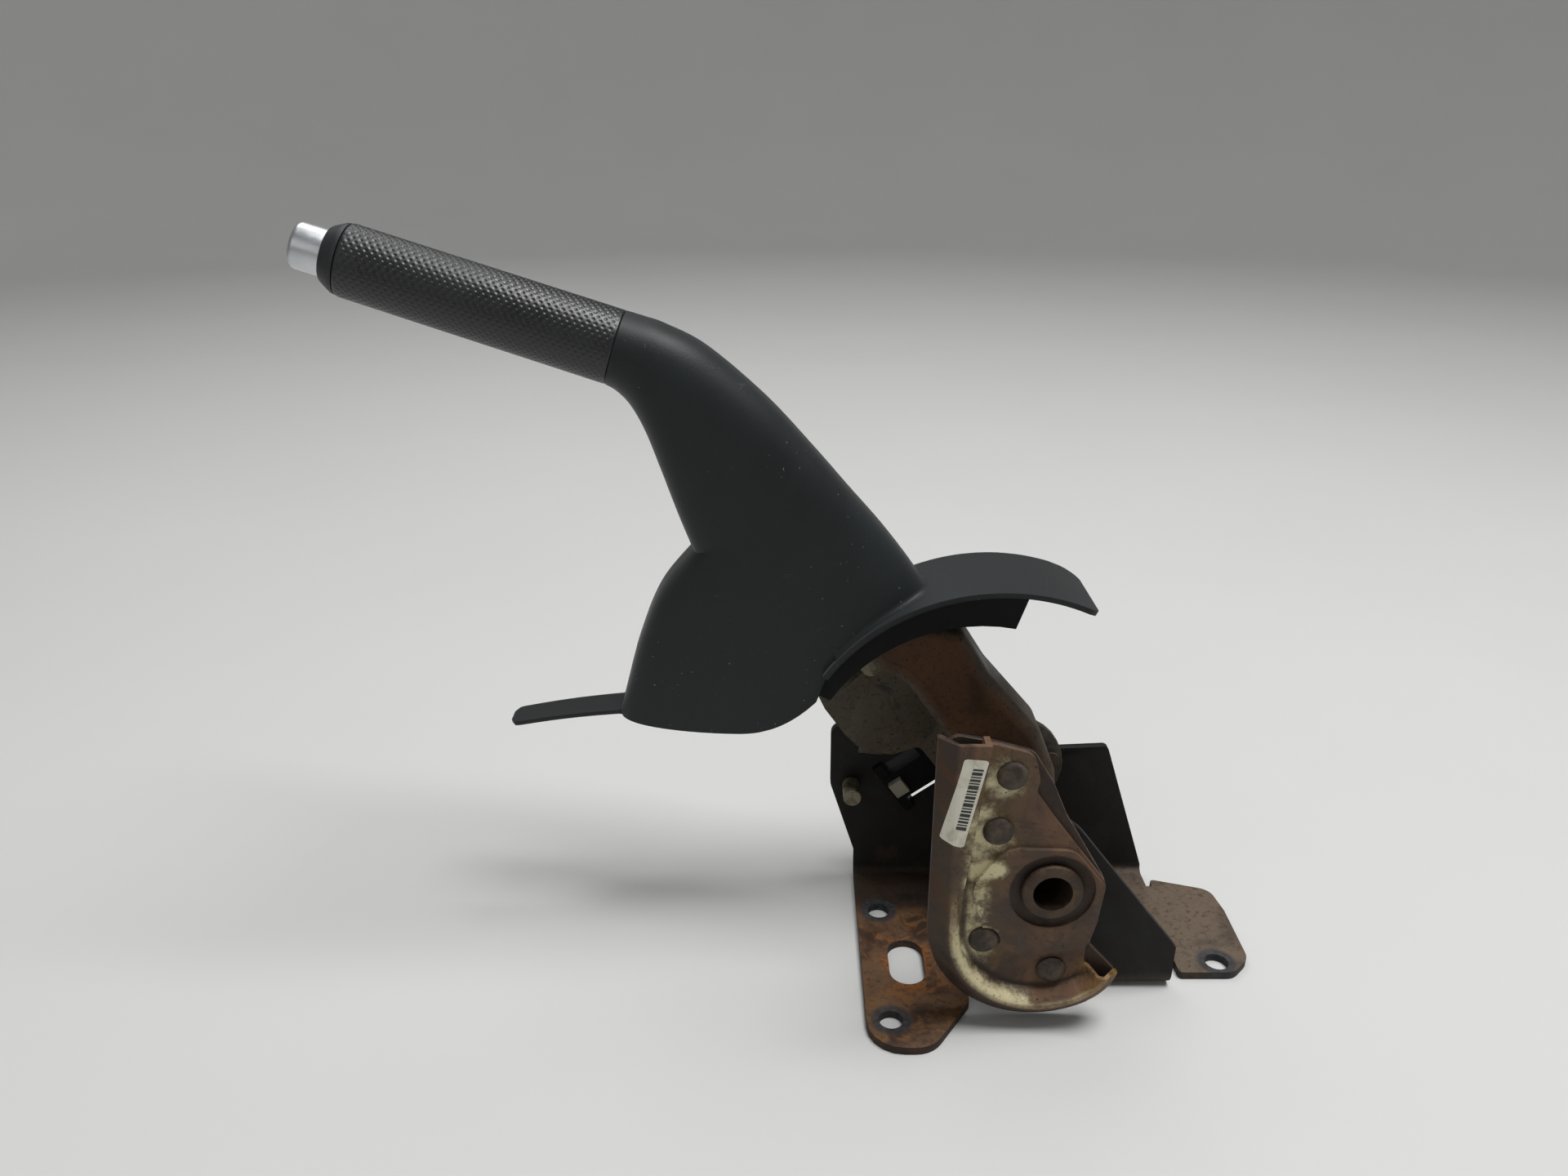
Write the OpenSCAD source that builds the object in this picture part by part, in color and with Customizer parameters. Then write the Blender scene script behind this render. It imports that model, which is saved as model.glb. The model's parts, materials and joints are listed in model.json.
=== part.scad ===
// Parking brake lever: handle with release button, ratchet, cable quadrant and floor bracket.
// Frame: origin on the floor under the pivot, X towards the rear foot, Y across, Z up, in mm.

/* [Base bracket] */
// Height of the pivot axis above the floor
pivot_h = 71.5; // [66:0.5:85]
// Sheet thickness of the base bracket
base_sheet = 4; // [3:0.25:5]
// Inside radius of the base bends
bend_r = 4; // [2:0.5:6]
// Clear width between the two walls
channel_w = 82; // [74:1:96]
// Bolt hole diameter in the feet
bolt_d = 11; // [8.5:0.5:13]
// Spacing of the two front bolt holes
bolt_pitch = 77; // [72:1:90]
// Distance from the front bolt holes back to the rear one
bolt_reach = 159; // [150:1:175]
// Width of the slotted hole in the front foot
slot_w = 17; // [12:0.5:18]
// Length of the slotted hole in the front foot
slot_l = 31; // [24:1:38]
// Radius of the near wall's pivot ear
ear_r = 22.5; // [20:0.5:26]

/* [Pivot] */
// Outside diameter of the pivot tube
pivot_od = 22; // [20:0.5:25]
// Bore of the pivot tube
pivot_bore = 17; // [14:0.5:18]
// Diameter of the rolled collar at the quadrant
collar_d = 27; // [25:0.5:31]
// Wall of the nylon bushes
bush_wall = 2; // [1.5:0.25:3]
// Running clearance of the pivot, on the radius
run_gap = 0.05; // [0.03:0.01:0.09]

/* [Lever arm] */
// Sheet thickness of the arm pressings
arm_sheet = 2.5; // [1.5:0.25:3]
// Shoulder radius of the raised near pressing
arm_shoulder = 6; // [4:0.5:8]
// Outside diameter of the handle tube
tube_d = 22; // [20:0.5:24]
// Wall of the handle tube
tube_wall = 2; // [1.5:0.25:3]
// Bend radius of the handle tube
tube_bend = 60; // [52:1:70]
// Straight tail of the handle tube inside the arm
tube_tail = 50; // [40:1:60]

/* [Ratchet] */
// Thickness of the ratchet sector and the pawl
ratchet_t = 4; // [3:0.25:5]
// Gap between the arm and the ratchet plane
ratchet_gap = 2.4; // [2:0.1:3.5]
// Angle between two ratchet teeth
tooth_pitch = 4; // [3.5:0.1:5]
// Depth of the ratchet teeth
tooth_depth = 4; // [2.5:0.25:4.5]
// Diameter of the pawl pin
pawl_pin_d = 8; // [6:0.5:9]
// Diameter of the lever stop pin
stop_d = 9; // [7:0.5:10]

/* [Cable quadrant] */
// Gap between the near wall and the quadrant
quad_stand = 16; // [12:0.5:22]
// Sheet thickness of the quadrant pressings
quad_sheet = 2.5; // [2:0.25:3]
// Height of the raised cable rim over the flat web
rim_raise = 8; // [6:0.5:10]
// Space between the rim and the floor
rim_floor = 5; // [4.8:0.1:8]
// Rivet head diameter
rivet_head = 13; // [10:0.5:14]
// Rivet shank diameter
rivet_shank = 7; // [5:0.5:8]

/* [Grip] */
// Length of the grip sleeve
grip_len = 117; // [105:1:130]
// Grip diameter at the shroud
grip_d_rear = 32.6; // [30:0.2:35]
// Grip diameter at the button
grip_d_front = 31; // [29:0.2:33]
// Rise of the grip above level
grip_tilt = 18.2; // [16:0.2:20]
// Length of the tapered end collar
cap_len = 7; // [5:0.5:9]

/* [Release button] */
// Button diameter
button_d = 20; // [18:0.5:21]
// Length of button outside the collar
button_out = 14; // [11:0.5:18]
// Button travel
button_travel = 6; // [4:0.5:7]
// Diameter of the release rod
rod_d = 5; // [4:0.25:6]
// Wire of the button spring
spring_wire = 1.2; // [0.8:0.1:1.6]

/* [Shroud] */
// Wall of the shroud
shroud_wall = 2.5; // [2:0.1:3]
// Half width of the shroud at its hem
hem_half = 22.5; // [21.5:0.25:24]
// Half width of the rear guard
guard_half = 25.5; // [24:0.25:28]
// Thickness of the rear guard
guard_t = 2.6; // [2:0.1:3]
// Width of the front tongue
tongue_w = 24; // [18:0.5:28]
// Length of the front tongue in front of the nose
tongue_len = 54; // [40:1:60]

/* [Switch] */
// Length of the switch window
window_l = 32; // [30:0.5:34]
// Width of the switch window
window_w = 27; // [25:0.5:29]
// Width of the switch body
switch_w = 16; // [14:0.5:18]
// Reach of the switch plunger in front of its body
plunger_out = 3; // [2:0.1:3.2]
// Travel of the switch plunger
plunger_travel = 2.5; // [1.5:0.1:2.6]

/* [Hidden] */
$fn = 64;

// Clearance between pieces that move apart, and the seat of pieces that touch
gap = 0.3;
seat = 0.02;

// Stations across the object, from the lever's middle plane
arm_in = tube_d / 2 + seat;
arm_out = arm_in + arm_sheet;
sector_y = arm_out + ratchet_gap;
far_y = sector_y + ratchet_t;
far_back = far_y + base_sheet;
near_y = far_y - channel_w;
near_out = near_y - base_sheet;
quad_back = near_out - quad_stand;
quad_mid = quad_back - quad_sheet;
web_y = quad_mid - quad_sheet;
web_front = web_y + 0.15;

// Base plan
wall_z = base_sheet + bend_r;
bolt_x = -67;
bolt_far_y = far_y - 34;
bolt_near_y = bolt_far_y - bolt_pitch;
bolt_mid_y = (bolt_far_y + bolt_near_y) / 2;
rear_x = bolt_x + bolt_reach;
foot_x = bolt_x - 11;
foot_end = bolt_near_y - 17;
slot_x = bolt_x + 10.5;
far_rear_x = 75;
near_front_x = -26;
near_rear_x = 66;
far_ear_r = ear_r + 1.5;
bush_d = pivot_od + 2 * bush_wall;
flange_t = 2;

// Grip seat, grip direction and the bent path of tube and rod, seen from the side about the pivot;
// the rod ends where its hook has room under the shroud's rear guard
grip_seat = [-186.9, 215.7];
along = [-cos(grip_tilt), sin(grip_tilt)];
upward = [sin(grip_tilt), cos(grip_tilt)];
tube_turn = 33;
bend_thin = 0.2;
tail_dir = [cos(grip_tilt + tube_turn), -sin(grip_tilt + tube_turn)];
bend_end = grip_seat - upward * tube_bend + polar(90 - grip_tilt - tube_turn, tube_bend);
guard_c = [-9.6, 6.8];
guard_r = 103.7;
tail_room = 8.8;
tail_far = bend_end - guard_c;
tail_in = guard_r - guard_t - tail_room;
tail_back = -tail_far * tail_dir;
rod_tail = tail_back - sqrt(pow(tail_back, 2) - tail_far * tail_far + tail_in * tail_in);
tail_pt = bend_end + tail_dir * rod_tail;
pawl_arm = 22;
pawl_pt = tail_pt - upward * pawl_arm;
pawl_a = atan2(pawl_pt[1], pawl_pt[0]);
tooth_a = pawl_a + 12.5;
tip_r = norm(pawl_pt) - 16;
tooth_n = 11;
sector_a0 = tooth_a + 18.5;
pawl_y0 = far_y - gap - ratchet_t;

// Lengths along the grip axis from the shroud seam
grip_end = grip_len;
tube_end = grip_len - 1;
cap_end = grip_len + cap_len;
button_tip = cap_end + button_out;
stem_end = tube_end - 16;
seat_top = stem_end - 36;
bore_r = tube_d / 2 - tube_wall;

// Quadrant rim about its own centre below the pivot, and the hook that it curls into
rim_c = [-3.5, -17.5];
rim_r = pivot_h + rim_c[1] - rim_floor;
hook_a0 = 300;
hook_a1 = 345;
hook_r = 26;
hook_thin = 0.15;
hook_c = rim_c + polar(hook_a0, rim_r - hook_r);
rim_top = 75;
outer_x = rim_c[0] - rim_r;
rim_w = 16.6;
rim_rivet_r = rim_r - rim_w - rivet_head / 2 - gap;
rivet_pts = [
    [outer_x + 31.5, 57],
    [outer_x + 27.5, 30],
    rim_c + polar(199, rim_rivet_r),
    rim_c + polar(285, rim_rivet_r)
];

// Switch place, and the stop pin's place by radius and angle
switch_pt = [-48.3, -7.5];
switch_a = 36.5;
stop_pt = polar(190, 81.6);
plunger_x = -9.5;
plunger_room = plunger_travel + 3.5;

// Point at an angle, measured from +X towards +Z
function polar(a, r) = [r * cos(a), r * sin(a)];
function unit(v) = v / norm(v);
// Point where a line from p meets a circle about the pivot as a tangent
function touch(p, r, side) = polar(atan2(p[1], p[0]) + side * acos(r / norm(p)), r);
// Arc that replaces the corner b; its third value is the radius
function corner(a, b, c, n) =
    let (
        at = [b[0], b[1]],
        u = unit([a[0], a[1]] - at),
        v = unit([c[0], c[1]] - at),
        h = acos(u * v) / 2,
        m = at + unit(u + v) * b[2] / sin(h),
        s = at + u * b[2] / tan(h) - m,
        e = at + v * b[2] / tan(h) - m,
        a0 = atan2(s[1], s[0]),
        turn = (atan2(e[1], e[0]) - a0 + 540) % 360 - 180
    )
    [for (k = [0:n]) m + polar(a0 + turn * k / n, b[2])];
// Outline with rounded corners from points [x, z, radius]
function rounded(p, n = 5) =
    let (c = len(p))
    [for (i = [0:c - 1]) each p[i][2] == 0
        ? [[p[i][0], p[i][1]]]
        : corner(p[(i + c - 1) % c], p[i], p[(i + 1) % c], n)];
// Outline moved inwards by d, same number of points, for an outline that runs anticlockwise
function inset(p, d) =
    let (c = len(p))
    [for (i = [0:c - 1])
        let (
            e0 = unit(p[i] - p[(i + c - 1) % c]),
            e1 = unit(p[(i + 1) % c] - p[i]),
            n0 = [-e0[1], e0[0]],
            n1 = [-e1[1], e1[0]]
        )
        p[i] + (n0 + n1) * d / (1 + n0 * n1)];
// Smooth curve through the points p at t, which counts the points
function spline(p, t) =
    let (
        i = min(floor(t), len(p) - 2),
        f = t - i,
        p1 = p[i],
        p2 = p[i + 1],
        p0 = i > 0 ? p[i - 1] : 2 * p1 - p2,
        p3 = i + 2 < len(p) ? p[i + 2] : 2 * p2 - p1
    )
    p1 + 0.5 * f * ((p2 - p0) + f * ((2 * p0 - 5 * p1 + 4 * p2 - p3) + f * (3 * p1 - p0 - 3 * p2 + p3)));
// Signed power, for rounded-square sections
function spow(v, e) = sign(v) * pow(abs(v), e);

module at_pivot() {
    translate([0, 0, pivot_h])
        children();
}

// Grip frame: Z along the grip towards the button, X up
module at_grip() {
    translate([grip_seat[0], 0, pivot_h + grip_seat[1]])
        rotate([0, grip_tilt - 90, 0])
            children();
}

// Switch frame: X along the switch, Z across it
module at_switch() {
    translate([switch_pt[0], 0, pivot_h + switch_pt[1]])
        rotate([0, -switch_a, 0])
            children();
}

// A side outline given thickness from y0 to y1
module slab(y0, y1) {
    translate([0, y1, 0])
        rotate([90, 0, 0])
            linear_extrude(y1 - y0)
                children();
}

// Round bar across the object
module bar(p, y0, y1, d) {
    translate([p[0], y1, p[1]])
        rotate([90, 0, 0])
            cylinder(h = y1 - y0, d = d);
}

// Box from one corner to the other
module box(a, b) {
    translate(a)
        cube(b - a);
}

// Solid from rings of points; the last ring may close on the first or end in flat faces
module skin(rings, closed) {
    n = len(rings);
    m = len(rings[0]);
    points = [for (r = rings) each r];
    sides = [for (i = [0:n - (closed ? 1 : 2)]) for (j = [0:m - 1])
        let (
            k = (i + 1) % n,
            l = (j + 1) % m
        )
        each [[i * m + j, k * m + j, k * m + l], [i * m + j, k * m + l, i * m + l]]];
    first = [for (j = [0:m - 1]) j];
    last = [for (j = [m - 1:-1:0]) (n - 1) * m + j];
    polyhedron(points, closed ? sides : concat(sides, [first, last]));
}

// Coil spring along Z
module coil(r, wire, length, turns) {
    steps = turns * 14;
    skin([for (i = [0:steps])
        let (a = -360 * turns * i / steps)
        [for (b = [0:60:300])
            let (q = r + wire / 2 * cos(b))
            [q * cos(a), q * sin(a), wire / 2 + (length - wire) * i / steps + wire / 2 * sin(b)]]], false);
}

// Bent path shared by the handle tube and the release rod; bore 0 makes it solid
module ring(d, bore) {
    difference() {
        circle(d = d);
        if (bore > 0)
            circle(d = bore);
    }
}

module bent_path(top, tail, d, bore = 0) {
    at_grip() {
        linear_extrude(top)
            ring(d, bore);
        translate([-tube_bend, 0, 0])
            rotate([90, 0, 0])
                rotate([0, 0, -tube_turn])
                    rotate_extrude(angle = tube_turn)
                        translate([tube_bend, 0])
                            ring(d - bend_thin, bore > 0 ? bore + bend_thin : 0);
        translate([-tube_bend + tube_bend * cos(tube_turn), 0, -tube_bend * sin(tube_turn)])
            rotate([0, 180 + tube_turn, 0])
                linear_extrude(tail)
                    ring(d, bore);
    }
}

// Base bracket
floor_plan = [
    [foot_x, far_y - bend_r, 0],
    [foot_x, foot_end, 16],
    [foot_x + 28, foot_end, 14],
    [near_front_x - 4, near_out - 13, 6],
    [near_front_x - 4, near_y + bend_r + 6, 0],
    [near_front_x, near_y + bend_r + 6, 0],
    [near_front_x, near_y + bend_r, 0],
    [near_rear_x, near_y + bend_r, 0],
    [near_rear_x, near_y + bend_r + 6, 0],
    [near_rear_x + 6, near_y + bend_r + 6, 0],
    [near_rear_x + 6, near_out + 6, 2],
    [rear_x + 6, near_out + 6, 8],
    [rear_x + 16, near_out + 16, 10],
    [rear_x + 17, -14, 4],
    [rear_x + 15, 3, 8],
    [far_rear_x + 3, 12, 2],
    [far_rear_x + 3, 6, 0],
    [far_rear_x, 6, 0],
    [far_rear_x, far_y - bend_r, 0]
];
far_outline = [
    [foot_x, wall_z - pivot_h, 0],
    [far_rear_x, wall_z - pivot_h, 0],
    [50.5, 8.5, 3],
    [20, 7, 0],
    [-12, 20, 0],
    [foot_x - 13, 20.5, 5],
    [foot_x - 13, -13.5, 8],
    [foot_x, 17 - pivot_h, 8]
];
near_low = [near_front_x, wall_z - pivot_h];
near_high = [near_rear_x, 23.5 - pivot_h];
near_outline = [
    near_low,
    [near_rear_x, wall_z - pivot_h],
    near_high,
    touch(near_high, ear_r, 1),
    touch(near_low, ear_r, -1)
];

module base_bend(x0, x1, y, side) {
    r = bend_r + base_sheet;
    translate([x0, y - side * bend_r, wall_z])
        rotate([90, 0, 90])
            linear_extrude(x1 - x0)
                intersection() {
                    difference() {
                        circle(r = r);
                        circle(r = bend_r);
                    }
                    translate([side > 0 ? 0 : -r, -r])
                        square(r);
                }
}

module floor_hole(x, y) {
    translate([x, y, -1])
        cylinder(h = base_sheet + 2, d = bolt_d);
}

module base_bracket() {
    color("#2b2c2e")
        difference() {
            union() {
                linear_extrude(base_sheet)
                    polygon(rounded(floor_plan));
                base_bend(foot_x, far_rear_x, far_y, 1);
                base_bend(near_front_x, near_rear_x, near_y, -1);
                at_pivot() {
                    slab(far_y, far_back) {
                        polygon(rounded(far_outline));
                        circle(r = far_ear_r);
                    }
                    slab(near_out, near_y) {
                        polygon(near_outline);
                        circle(r = ear_r);
                    }
                }
            }
            floor_hole(bolt_x, bolt_far_y);
            floor_hole(bolt_x, bolt_near_y);
            floor_hole(rear_x, bolt_mid_y);
            for (s = [-1, 1])
                translate([slot_x, bolt_mid_y + s * (slot_l - slot_w) / 2, -1])
                    cylinder(h = base_sheet + 2, d = slot_w);
            box([slot_x - slot_w / 2, bolt_mid_y - (slot_l - slot_w) / 2, -1],
                [slot_x + slot_w / 2, bolt_mid_y + (slot_l - slot_w) / 2, base_sheet + 1]);
            at_pivot() {
                bar([0, 0], near_out - 1, far_back + 1, bush_d);
                bar(stop_pt, far_y - 1, far_back + 1, stop_d - 2);
                for (p = sector_rivets)
                    bar(p, far_y - 1, far_back + 1, 5);
            }
            at_switch()
                box([-window_l / 2, far_y - 1, -window_w / 2], [window_l / 2, far_back + 1, window_w / 2]);
        }
}

module pivot_bush(y0, y1, flange_y) {
    difference() {
        at_pivot() {
            bar([0, 0], y0, y1, bush_d);
            bar([0, 0], flange_y, flange_y + flange_t, bush_d + 6);
        }
        at_pivot()
            bar([0, 0], y0 - 5, y1 + 5, pivot_od + 2 * run_gap);
    }
}

module pivot_bush_near() {
    color("#d8d2c0")
        pivot_bush(near_out, near_y, near_out - flange_t);
}

module pivot_bush_far() {
    color("#d8d2c0")
        pivot_bush(far_y, far_back, far_back);
}

// Ratchet on the far wall
sector_rivets = [polar(150, 31), polar(250, 21), polar(8, 21)];
hub_r = 27;
sector_outline = concat(
    [polar(sector_a0 + 3, tip_r)],
    [for (k = [0:tooth_n]) each [
        polar(sector_a0 - k * tooth_pitch, tip_r),
        polar(sector_a0 - k * tooth_pitch, tip_r - (k < tooth_n ? tooth_depth : 12))]],
    [for (a = [112:-12:-202]) polar(a, hub_r)],
    [polar(150, tip_r - 15), polar(sector_a0 + 3, tip_r - 13)]
);

module ratchet_sector() {
    color("#8a8781")
        difference() {
            at_pivot()
                slab(sector_y, far_y - seat)
                    polygon(sector_outline);
            at_pivot() {
                bar([0, 0], sector_y - 1, far_y + 1, bush_d + 2);
                for (p = sector_rivets)
                    bar(p, sector_y - 1, far_y + 1, 5);
            }
        }
}

module ratchet_rivets() {
    color("#6f6b66")
        at_pivot()
            for (p = sector_rivets) {
                bar(p, sector_y - 1.2, sector_y - seat, 9);
                bar(p, sector_y - seat, far_back + seat, 5 - 2 * seat);
                bar(p, far_back + seat, far_back + 2.5, 9);
            }
}

module stop_pin() {
    color("#a39c88")
        at_pivot() {
            bar(stop_pt, arm_in - 4, far_y - seat, stop_d);
            bar(stop_pt, far_y - seat, far_back + seat, stop_d - 2 - 2 * seat);
            bar(stop_pt, far_back + seat, far_back + 3, stop_d + 3);
        }
}

// Warning lamp switch in the far wall's window
module switch_cross(x0, x1) {
    half = window_w / 2 + 2;
    box([x0, far_y - 2.5, -half], [x1, far_y - seat, half]);
    box([x0, far_y - seat, -window_w / 2 + 0.2], [x1, far_back + seat, window_w / 2 - 0.2]);
    box([x0, far_back + seat, -half], [x1, far_back + 2.5, half]);
}

module switch_blade(x) {
    box([x - 0.4, far_back + 7, -3.15], [x + 0.4, far_back + 15, 3.15]);
}

module switch_housing() {
    color("#1b1c1e")
        at_switch()
            difference() {
                union() {
                    box([-14, far_y - 3, -switch_w / 2], [14, far_back + 16, switch_w / 2]);
                    switch_cross(-15, -10);
                    switch_cross(9.5, 13.5);
                }
                box([plunger_x - 3.7 - gap, far_y - 4, -4.2 - gap],
                    [plunger_x + 3.7 + gap, far_y + 3 + plunger_room, 4.2 + gap]);
                box([-11, far_back + 9, -switch_w / 2 + 2.2], [11, far_back + 17, switch_w / 2 - 2.2]);
                for (x = [-5, 5])
                    switch_blade(x);
            }
}

module switch_terminals() {
    color("#b79a55")
        at_switch()
            for (x = [-5, 5])
                switch_blade(x);
}

module switch_plunger() {
    color("#b9b4a6")
        at_switch()
            box([plunger_x - 3.7, far_y - 3 - plunger_out, -4.2], [plunger_x + 3.7, far_y + 3, 4.2]);
}

module plunger_spring() {
    color("#9a9c9e")
        at_switch()
            translate([plunger_x, far_y + 3 + seat, 0])
                rotate([-90, 0, 0])
                    coil(2.4, 0.6, plunger_room - 2 * seat, 4);
}

// Pivot tube and what sits on it
module pivot_tube() {
    r = collar_d / 2;
    groove_y = far_back + flange_t + 2;
    color("#7c6a58")
        at_pivot()
            difference() {
                union() {
                    bar([0, 0], web_y - 1, far_back + flange_t + 7, pivot_od);
                    translate([0, web_front - seat, 0])
                        rotate([90, 0, 0])
                            rotate_extrude() {
                                square([r - 1.6, 3.2]);
                                translate([r - 1.6, 1.6])
                                    circle(r = 1.6);
                            }
                }
                bar([0, 0], web_y - 10, far_back + 20, pivot_bore);
                difference() {
                    bar([0, 0], groove_y, groove_y + 1.6, pivot_od + 2);
                    bar([0, 0], groove_y - 1, groove_y + 3, pivot_od - 1.6);
                }
            }
}

module spacer_sleeve() {
    color("#8d8577")
        at_pivot()
            difference() {
                bar([0, 0], quad_back + seat, near_out - flange_t - gap, pivot_od + 6);
                bar([0, 0], quad_back - 1, near_out, pivot_od + 2 * seat);
            }
}

module pivot_washers() {
    color("#9c988e")
        at_pivot()
            difference() {
                union() {
                    bar([0, 0], arm_out + seat, sector_y - gap, pivot_od + 10);
                    bar([0, 0], far_back + flange_t + gap, far_back + flange_t + 2 - seat, pivot_od + 10);
                }
                bar([0, 0], arm_out - 1, far_back + 9, pivot_od + 2 * seat);
            }
}

module retaining_ring() {
    y0 = far_back + flange_t + 2 + seat;
    color("#55575a")
        at_pivot()
            difference() {
                bar([0, 0], y0, y0 + 1.5, pivot_od + 5);
                bar([0, 0], y0 - 1, y0 + 3, pivot_od - 1.5);
                box([-3, y0 - 1, 0], [3, y0 + 3, pivot_od]);
            }
}

// Lever arm: flat far pressing and raised near pressing, both round the pivot tube
arm_back = [
    [18.5, -5, 0],
    [17, 12, 10],
    [8, 34, 18],
    [-18, 64, 30],
    [-32, 86, arm_shoulder + 2],
    [-44, 89, 5],
    [-63, 102, 10],
    [-107, 157.5, 30],
    [-141, 193.5, arm_shoulder + 3],
    [-161, 178, arm_shoulder + 3]
];
arm_far_front = [
    [-140, 133, 30],
    [-104, 55, 10],
    [-94.8, 35, 4],
    [-85, 21, 5],
    [-78, 13.5, 5],
    [-61, 8.5, 10],
    [-47.3, 14, 4],
    [-36, -1, 6],
    [-17, -12, 0]
];
arm_near_front = [
    [-138, 136, 30],
    [-104, 86, 14],
    [-75, 72, 7],
    [-71, 66.5, arm_shoulder + 2.5],
    [-62, 63.8, 6.5],
    [-56, 58, 8],
    [-36, 30, 12],
    [-18.5, 2, 8]
];
arm_foot = [for (a = [200:15:350]) polar(a, 19)];

module arm_cuts() {
    at_pivot()
        bar([0, 0], -30, 30, pivot_od + 2 * seat);
    bent_path(20, tube_tail + seat, tube_d + 2 * seat);
}

module arm_far_plate() {
    push = -along * button_travel;
    color("#a08248")
        difference() {
            at_pivot()
                slab(arm_in, arm_out) {
                    polygon(rounded(concat(arm_back, arm_far_front)));
                    circle(r = 19);
                }
            arm_cuts();
            at_pivot() {
                bar(pawl_pt, arm_in - 1, arm_out + 1, pawl_pin_d - 2);
                for (k = [0, 0.5, 1])
                    bar(tail_pt + k * push, arm_in - 1, arm_out + 1, rod_d + 4);
            }
        }
}

module arm_near_shell() {
    back = [for (i = [1:len(arm_back) - 1]) arm_back[i]];
    outline = rounded(concat(back, arm_near_front, [for (p = arm_foot) [p[0], p[1], 0]]));
    r = arm_shoulder;
    q = r - arm_sheet;
    lap = 1.2;
    outer = concat(
        [[arm_in - seat, 0]],
        [for (a = [0:22.5:90]) [-arm_out + r - r * sin(a), r - r * cos(a)]],
        [[-arm_out, r + lap]]
    );
    inner = concat(
        [[-arm_in, r + lap]],
        [for (a = [90:-30:0]) [-arm_out + r - q * sin(a), r - q * cos(a)]],
        [[arm_in - seat, arm_sheet]]
    );
    rings = [for (k = concat(inner, outer)) [for (p = inset(outline, k[1])) [p[0], k[0], p[1]]]];
    color("#b08a4a")
        difference() {
            at_pivot() {
                skin(rings, true);
                slab(0.1 - arm_out, -0.1 - arm_in)
                    polygon(inset(outline, r + lap / 2));
            }
            arm_cuts();
        }
}

module handle_tube() {
    color("#5d5a54")
        bent_path(tube_end, tube_tail, tube_d, 2 * bore_r);
}

// Grip
module grip_sleeve() {
    r0 = tube_d / 2 + seat;
    color("#1d1e20")
        at_grip()
            rotate_extrude()
                polygon(rounded([
                    [r0, seat, 0],
                    [grip_d_rear / 2, seat, 0.8],
                    [grip_d_front / 2, grip_end, 1.2],
                    [r0, grip_end, 0]
                ]));
}

module grip_collar() {
    r0 = button_d / 2 + gap;
    color("#2a2b2d")
        at_grip()
            rotate_extrude()
                polygon([
                    [r0, grip_end + seat],
                    [grip_d_front / 2 - 0.4, grip_end + seat],
                    [grip_d_front / 2 - 0.6, grip_end + 1.5],
                    [button_d / 2 + 2.2, cap_end - 0.8],
                    [button_d / 2 + 1.4, cap_end],
                    [r0, cap_end]
                ]);
}

module release_button() {
    r = button_d / 2;
    stem_r = bore_r - gap;
    skirt = tube_end + button_travel + gap;
    color("#b9bbbd")
        at_grip()
            rotate_extrude()
                polygon(concat(
                    [[0, stem_end], [stem_r, stem_end], [stem_r, skirt], [r, skirt]],
                    [for (a = [0:15:90]) [r - 2.5 + 2.5 * cos(a), button_tip - 3 + 2.5 * sin(a)]],
                    [[0, button_tip]]
                ));
}

module release_rod() {
    color("#8f9092") {
        bent_path(stem_end - seat, rod_tail, rod_d);
        at_pivot() {
            bar(tail_pt, -4, 4, rod_d + 3);
            bar(tail_pt, 3, far_y - gap, rod_d);
        }
    }
}

module spring_seat() {
    color("#8d8577")
        at_grip()
            translate([0, 0, seat_top - 3])
                difference() {
                    cylinder(h = 3, r = bore_r - seat);
                    translate([0, 0, -1])
                        cylinder(h = 5, d = rod_d + 1);
                }
}

module button_spring() {
    color("#9a9c9e")
        at_grip()
            translate([0, 0, seat_top + seat])
                coil(rod_d / 2 + spring_wire / 2 + 1.4, spring_wire, stem_end - seat_top - 2 * seat, 8);
}

// Pawl and its pin
pawl_outline = let (
    t = tail_pt - pawl_pt,
    side = [t[1], -t[0]] / norm(t),
    up = unit(t),
    bite = polar(tooth_a, tip_r + gap + 0.1) - pawl_pt,
    heel = polar(tooth_a + 4, tip_r + 5) - pawl_pt,
    ramp = polar(tooth_a - 4, tip_r + 5) - pawl_pt,
    face = polar(tooth_a, tip_r + 4.6) - pawl_pt
    )
    [for (p = [
        [-6 * side + 28 * up, 4],
        [-9 * side, 6],
        [heel, 2],
        [face, 0],
        [bite, 0.4],
        [ramp, 2],
        [9 * side, 6],
        [6 * side + 28 * up, 4]
    ]) [p[0][0] + pawl_pt[0], p[0][1] + pawl_pt[1], p[1]]];

module pawl() {
    up = unit(tail_pt - pawl_pt);
    color("#77726a")
        at_pivot()
            difference() {
                slab(pawl_y0, pawl_y0 + ratchet_t)
                    polygon(rounded(pawl_outline));
                bar(pawl_pt, pawl_y0 - 1, far_y + 1, pawl_pin_d + 2 * run_gap);
                for (k = [-2.6, -1.3, 0, 1.3])
                    bar(tail_pt + k * up, pawl_y0 - 1, far_y + 1, rod_d + 1.2);
            }
}

module pawl_pin() {
    color("#a09a8c")
        at_pivot() {
            bar(pawl_pt, arm_in - 1.5, arm_in - seat, pawl_pin_d + 3);
            bar(pawl_pt, arm_in - seat, arm_out + seat, pawl_pin_d - 2 - 2 * seat);
            difference() {
                bar(pawl_pt, arm_out + seat, far_y + 3, pawl_pin_d);
                difference() {
                    bar(pawl_pt, far_y + gap, far_y + 1.5, pawl_pin_d + 1);
                    bar(pawl_pt, far_y, far_y + 2, pawl_pin_d - 2);
                }
            }
            bar(pawl_pt, arm_out + seat, pawl_y0 - gap, pawl_pin_d + 4);
        }
}

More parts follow.
